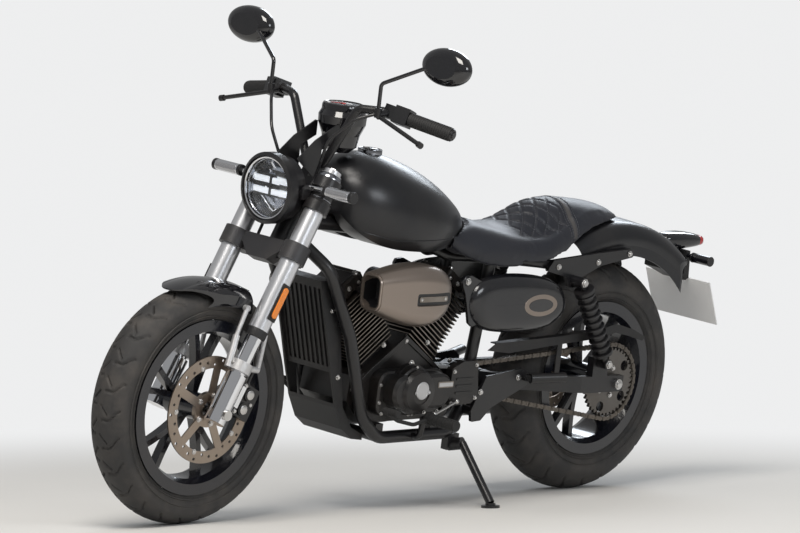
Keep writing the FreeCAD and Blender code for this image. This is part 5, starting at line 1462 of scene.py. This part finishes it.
def brake_fittings():
    """The calipers' pots, bolts and nipple, and the wheels' valves."""
    kit = Kit()
    for s in (44, 84):
        kit.ring([(0.2, 0), (12, 0), (12, 2), (9, 3.4), (0.2, 3.4)], (-42, 92, s), (0, 1, 0), 40)
    kit.side_bolts(((-20, 30), (-20, 98)), 86, 4.5, 5, ways=(1,))
    kit.rod((-62, 85.5, 64), (-62, 89, 64), 5, sides=6)
    kit.done("front_caliper_bolts", PLATED, "steel", ON_FORK, bevel=0.4)
    kit.side_bolts(((72, 352), (72, 392)), 115.5, 4.5, 4, ways=(-1,))
    kit.ring([(0.2, 0), (13, 0), (13, -2.4), (0.2, -2.4)], (98, -115.6, 372), (0, 1, 0), 40)
    kit.done("rear_caliper_bolts", PLATED, "steel", bevel=0.4)
    for word, on, radius, y in (("front", ON_FRONT_WHEEL, FRONT_RIM - 16, 14),
                                ("rear", ON_REAR_WHEEL, REAR_RIM - 16, 18)):
        kit.rod((radius + 12, y, 0), (radius - 16, y + 3, 0), 3.2, sides=12)
        kit.rod((radius - 10, y + 2.4, 0), (radius - 22, y + 3.8, 0), 4.2, 3.6, sides=12)
        kit.done(f"{word}_valve", BLACK_METAL, "black_plastic", on, bevel=0.3)


brake_fittings()

MUFFLER_Y = -160
MUFFLER_Z = 222
SHIELD_RADIUS = 49.4
SHIELD_ROWS = 40
SHIELD_COLUMNS = 14


def exhaust_fittings():
    """Slotted shield over the silencer, clamps and the bright tip."""
    foot = (0, MUFFLER_Y, MUFFLER_Z)
    kit = Kit()
    for low, high in ((-34, -22), (318, 332)):
        kit.ring([(46, low), (49, low), (49, high), (46, high)], foot, (1, 0, 0), 72)
    kit.done("muffler_bands", PLATED, "steel", bevel=0.6)
    kit.ring([(18, -100.6), (23.6, -100.6), (24, -98), (24, -92), (22.2, -90), (18, -98)],
             foot, (1, 0, 0), 56)
    kit.done("muffler_tip", DARK_CHROME, "chrome")
    vertices = []
    for radius in (SHIELD_RADIUS, SHIELD_RADIUS * 0.955):
        for row in range(SHIELD_ROWS + 1):
            pinch = 1 - 0.35 * abs(2 * row / SHIELD_ROWS - 1) ** 3
            for column in range(SHIELD_COLUMNS + 1):
                angle = math.radians(90 * (column / SHIELD_COLUMNS - 0.5) * 1.2 * pinch + 12)
                vertices.append((-10 + 300 * row / SHIELD_ROWS, MUFFLER_Y - radius * math.cos(angle),
                                 MUFFLER_Z + radius * math.sin(angle)))
    inside = len(vertices) // 2
    across_row = SHIELD_COLUMNS + 1
    faces = []
    for row in range(SHIELD_ROWS):
        for column in range(SHIELD_COLUMNS):
            if 5 <= column <= 8 and row % 8 in (3, 4) and 5 < row < 38:
                continue
            a = row * across_row + column
            b = a + across_row
            faces.append((a, a + 1, b + 1, b))
            faces.append((inside + a, inside + b, inside + b + 1, inside + a + 1))
    mesh = mesh_of("muffler_shield", vertices, faces)
    piece("muffler_shield", mesh, DARK_CHROME, "black_metal", smooth=50)


exhaust_fittings()


def hand_fittings():
    """Buttons on the switch boxes, pivot screws on the perches, clamp bolts on the riser."""
    way = (GRIP_END - GRIP_IN).normalized()
    plain = Kit()
    red = Kit()
    for word, turn in (("left", Vector), ("right", flipped)):
        at = turn(GRIP_IN - way * 20)
        for up, size in ((8, 4.5), (-6, 4), (-14, 3)):
            tool = red if (up == 8 and word == "right") else plain
            start = at + Vector((-19, 0, up))
            tool.rod(start, start + Vector((-5, 0, 0)), size, size * 0.9, sides=24)
        plain.bolt(turn((1076, 192, 1058)), (0, 0, 1), 5, 5)
        plain.done(f"switches_{word}", CAST_GREY, "black_plastic", ON_STEERING, bevel=0.6)
    red.done("stop_switch", RED_MARK, "lens_red", ON_STEERING, bevel=0.6)
    for side in (-1, 1):
        plain.bolt((1067, side * 10, 910), (0.3, 0, 1), 4, 6)
        plain.bolt((1102, side * 10, 898), (0.3, 0, 1), 4, 6)
    plain.done("riser_bolts", PLATED, "steel", ON_STEERING, bevel=0.4)


hand_fittings()


def sleeves():
    """Black sleeves and rings on the fork between its clamps."""
    kit = Kit()
    leg_rings(kit, [(26.1, 579), (28.6, 579), (29.2, 583), (29.2, 608), (28.6, 611), (26.1, 611)])
    kit.done("fork_sleeves", BLACK_METAL, "black_metal", ON_FORK, bevel=0.6)
    for s in (585, 604):
        leg_rings(kit, [(29, s), (30.2, s + 0.6), (30.2, s + 2.4), (29, s + 3)])
    leg_rings(kit, [(14, 640.4), (31, 640.4), (31, 644), (27, 652), (24.6, 655.6), (14, 655.6)])
    kit.done("fork_rings", DARK_CHROME, "chrome", ON_FORK)


sleeves()


# stage, light and camera

BACKDROP = (0.97, 0.975, 0.98, 1)
BACKDROP_LEVEL = 0.88
FLOOR_HALF = 30
# between these distances the floor fades into the backdrop
FADE_START = 1.3
FADE_END = 2.9
SKY_LEVEL = 0.3
LIGHT_AIM = Vector((0, 0, 0.6))


def stage():
    """A pale floor that takes the backdrop's colour, to the camera, well away from the machine."""
    floor, tree, surface = blank_material("pale floor")
    place = tree.nodes.new("ShaderNodeTexCoord")
    cloud = node(tree, "ShaderNodeTexNoise", Scale=1.5, Detail=3.0)
    link(tree, place.outputs["Object"], cloud.inputs["Vector"])
    shade = node(tree, "ShaderNodeMix", data_type="RGBA")
    shade.inputs["A"].default_value = (0.73, 0.72, 0.7, 1)
    shade.inputs["B"].default_value = (0.77, 0.76, 0.74, 1)
    link(tree, cloud.outputs["Fac"], shade.inputs["Factor"])
    link(tree, shade.outputs["Result"], surface.inputs["Base Color"])
    surface.inputs["Roughness"].default_value = 0.9
    surface.inputs["Specular IOR Level"].default_value = 0.1
    far = node(tree, "ShaderNodeVectorMath", operation="LENGTH")
    link(tree, place.outputs["Object"], far.inputs[0])
    fade = node(tree, "ShaderNodeMapRange", interpolation_type="SMOOTHSTEP", From_Min=FADE_START,
                From_Max=FADE_END)
    link(tree, far.outputs["Value"], fade.inputs["Value"])
    path = tree.nodes.new("ShaderNodeLightPath")
    amount = math_node(tree, "MULTIPLY", fade.outputs["Result"], path.outputs["Is Camera Ray"])
    glow = tree.nodes.new("ShaderNodeEmission")
    glow.inputs["Color"].default_value = BACKDROP
    glow.inputs["Strength"].default_value = BACKDROP_LEVEL
    blend = tree.nodes.new("ShaderNodeMixShader")
    link(tree, amount, blend.inputs["Fac"])
    link(tree, surface.outputs["BSDF"], blend.inputs[1])
    link(tree, glow.outputs["Emission"], blend.inputs[2])
    link(tree, blend.outputs["Shader"], tree.nodes["Material Output"].inputs["Surface"])
    mesh = mesh_of("floor", [(x * FLOOR_HALF, y * FLOOR_HALF, 0)
                             for x, y in ((-1, -1), (1, -1), (1, 1), (-1, 1))], [(0, 1, 2, 3)])
    mesh.materials.append(floor)
    in_scene("floor", mesh)


def looking(at, aim):
    """The turn that points a lamp or the camera from one place to another."""
    return (aim - at).to_track_quat("-Z", "Y")


def soft_box(name, at, size, power, color):
    """A rectangular lamp, its power in watts, aimed at the machine."""
    lamp = bpy.data.lights.new(name, "AREA")
    lamp.shape = "RECTANGLE"
    lamp.size, lamp.size_y = size
    lamp.energy = power
    lamp.color = color
    obj = in_scene(name, lamp)
    obj.location = at
    obj.rotation_euler = looking(Vector(at), LIGHT_AIM).to_euler()


def sky():
    """An even pale world, the backdrop's colour where the camera or a glass looks at it."""
    world = bpy.data.worlds.new("studio")
    bpy.context.scene.world = world
    world.use_nodes = True
    tree = world.node_tree
    back = tree.nodes["Background"]
    path = tree.nodes.new("ShaderNodeLightPath")
    seen = math_node(tree, "MAXIMUM", path.outputs["Is Camera Ray"], path.outputs["Is Transmission Ray"])
    strength = node(tree, "ShaderNodeMapRange", To_Min=SKY_LEVEL, To_Max=BACKDROP_LEVEL)
    link(tree, seen, strength.inputs["Value"])
    link(tree, strength.outputs["Result"], back.inputs["Strength"])
    back.inputs["Color"].default_value = BACKDROP


# where the camera stands and looks, from the rear hub, in millimetres
CAMERA_AT = Vector((9411.8, 8425.8, 809.4))
CAMERA_AIM = Vector((643.8, -38.2, 302.2))
CAMERA_LENS = 213.5
CAMERA_ROLL = math.radians(0.09)


def camera():
    data = bpy.data.cameras.new("camera")
    data.lens = CAMERA_LENS
    data.sensor_width = 36
    data.sensor_fit = "HORIZONTAL"
    data.clip_end = 100
    obj = in_scene("camera", data)
    obj.location = REAR_HUB + CAMERA_AT * MM
    way = looking(CAMERA_AT, CAMERA_AIM).to_matrix().to_4x4()
    obj.rotation_euler = (way @ Matrix.Rotation(CAMERA_ROLL, 4, "Z")).to_euler()
    bpy.context.scene.camera = obj


stage()
sky()
soft_box("key", (3.0, 1.5, 5.0), (2.6, 2.6), 235, (1.0, 0.96, 0.9))
soft_box("side", (0.2, 5.5, 2.4), (2.6, 1.4), 75, (0.92, 0.96, 1.0))
soft_box("back", (-4.5, -2.5, 3.5), (2.4, 1.6), 90, (0.85, 0.92, 1.0))
camera()
bpy.context.scene.view_settings.view_transform = "Standard"
